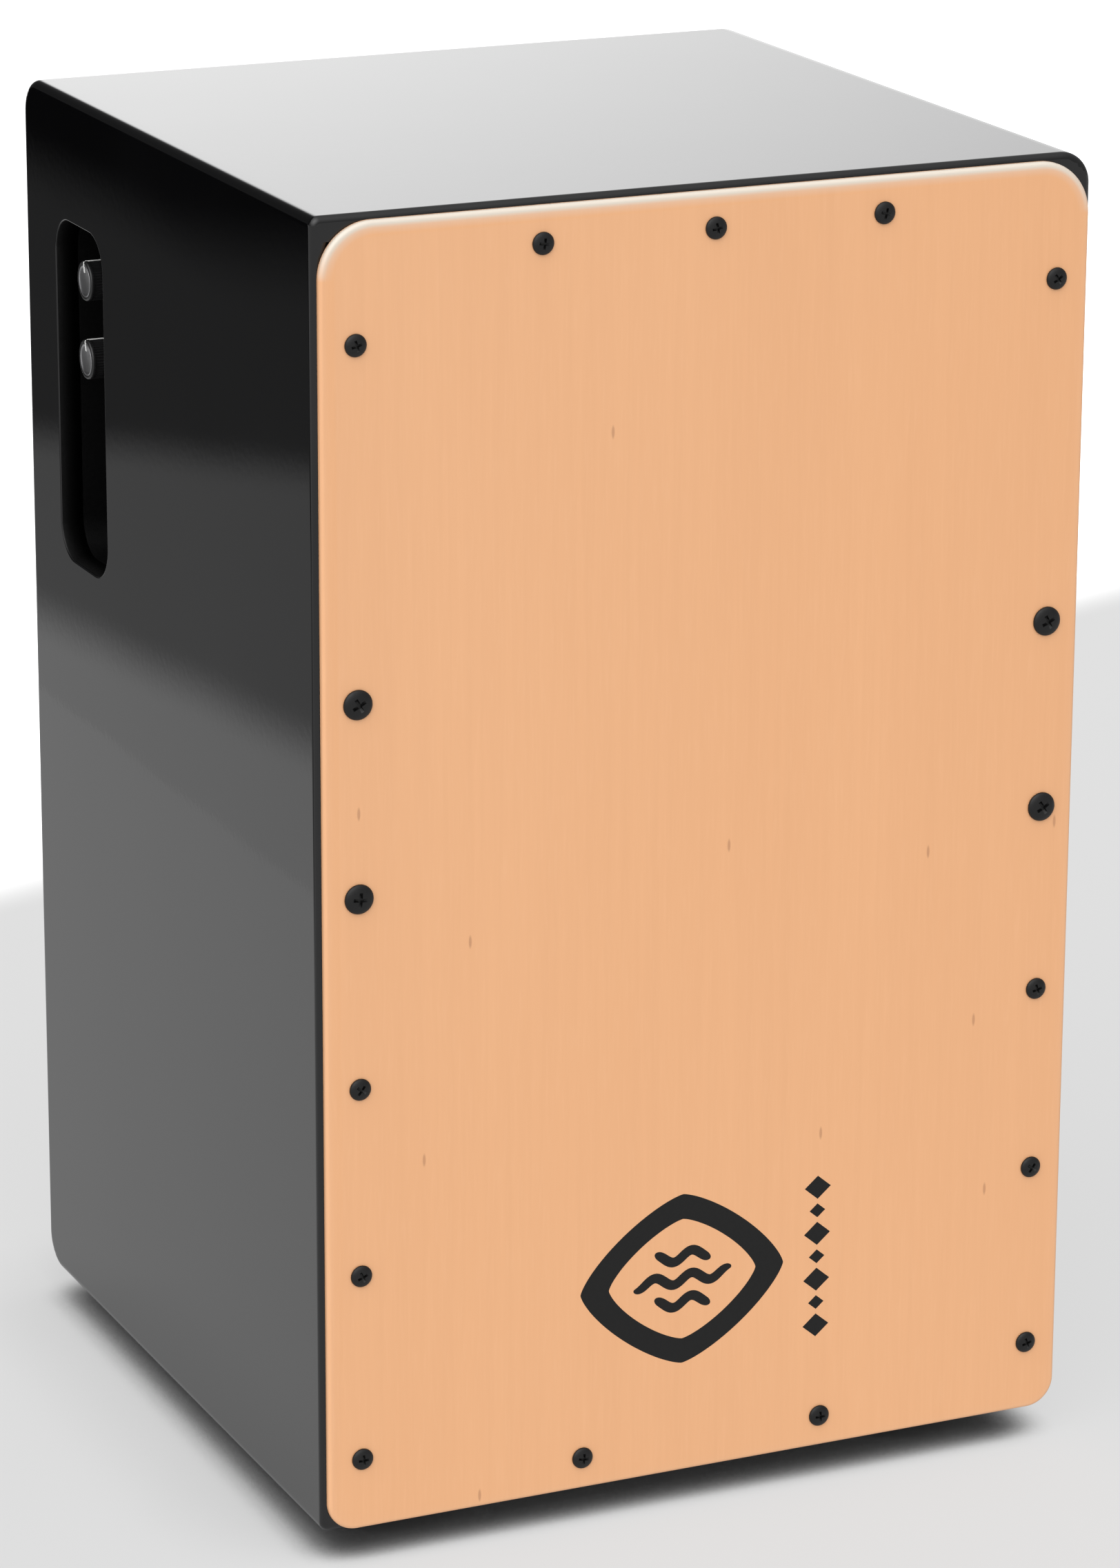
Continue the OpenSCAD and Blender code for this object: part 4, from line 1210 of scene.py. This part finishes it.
def make_floor():
    """A pale table that glows a little of itself, as if lit from below, with painted contact and cast shadows
    darkening its glow near the object; it burns out to white behind and far away.
    """
    floor = stage_sheet("floor", [(-8, -8), (8, -8), (8, 8), (-8, 8)], 0)
    s = Surface("studio_floor")
    mottle = s.noise(s.place, 3, 2)

    def openness(lean, distance):
        node = s.add("ShaderNodeAmbientOcclusion", samples=12)
        node.inputs["Distance"].default_value = distance
        tilted = s.add("ShaderNodeCombineXYZ")
        for socket, value in zip(tilted.inputs, lean):
            socket.default_value = value
        s.put(node.inputs["Normal"], tilted.outputs[0])
        return node.outputs["AO"]

    # painted shadows: the glow is dimmed where a tilted dome is occluded near the object
    contact = s.fit(openness(*CONTACT), 0.46, 0.85, smooth=True)
    cast = s.fit(openness(*CAST), 0.45, 0.82, 0.83, 1.0)
    glow = s.math("MULTIPLY", s.math("MULTIPLY", contact, cast), FLOOR_GLOW)
    behind = s.fit(s.dot(s.place, BURN_ACROSS), 0.58, 0.68, smooth=True)
    burnt = s.math("MAXIMUM", behind, s.fit(s.length(s.place), 1.3, 2.2, smooth=True))
    seen = s.math("MULTIPLY", burnt, s.add("ShaderNodeLightPath").outputs["Is Camera Ray"])
    s.set(
        Base_Color=s.blend(mottle, rgb((1, 1, 1), FLOOR_DIFFUSE), rgb((1, 1, 1), FLOOR_DIFFUSE * 0.97)),
        Roughness=1.0,
        Specular_IOR_Level=0.0,
        Emission_Color=(1, 1, 1, 1),
        Emission_Strength=s.math("ADD", glow, seen),
    )
    floor.data.materials.append(s.material)


def make_flag():
    """A card beside the table that only shows in the lacquer: black, but glowing less and less across bands,
    so that it paints the dark reflections on the box's left side.
    """
    flag = stage_sheet("flag", [(-1.2, 0.3), (FLAG_EDGE, 0.3), (FLAG_EDGE, 8), (-5, 8)], 2 * MM)
    s = Surface("studio_flag")
    # painted reflection: the card's glow steps down across three bands
    far = s.dot(s.place, FLAG_FAR)
    first = s.fit(s.dot(s.place, FLAG_NEAR), -0.68, -0.615, 0.27, 0.68, smooth=True)
    second = s.fit(far, -1.49, -1.37, 0.25, 1.0, smooth=True)
    third = s.fit(far, -2.15, -1.8, 0.0, 1.0, smooth=True)
    third = s.math("MAXIMUM", third, s.fit(s.axis("X"), -0.99, -0.88, smooth=True))
    s.set(
        Base_Color=(0, 0, 0, 1),
        Specular_IOR_Level=0.0,
        Emission_Color=(1, 1, 1, 1),
        Emission_Strength=s.math("MULTIPLY", s.math("MULTIPLY", first, second), third),
    )
    flag.data.materials.append(s.material)
    flag.visible_camera = False
    flag.visible_diffuse = False
    flag.visible_shadow = False
    flag.visible_transmission = False


make_world()
make_floor()
make_flag()
bpy.context.scene.view_settings.view_transform = "Standard"
bpy.context.scene.view_settings.look = "None"
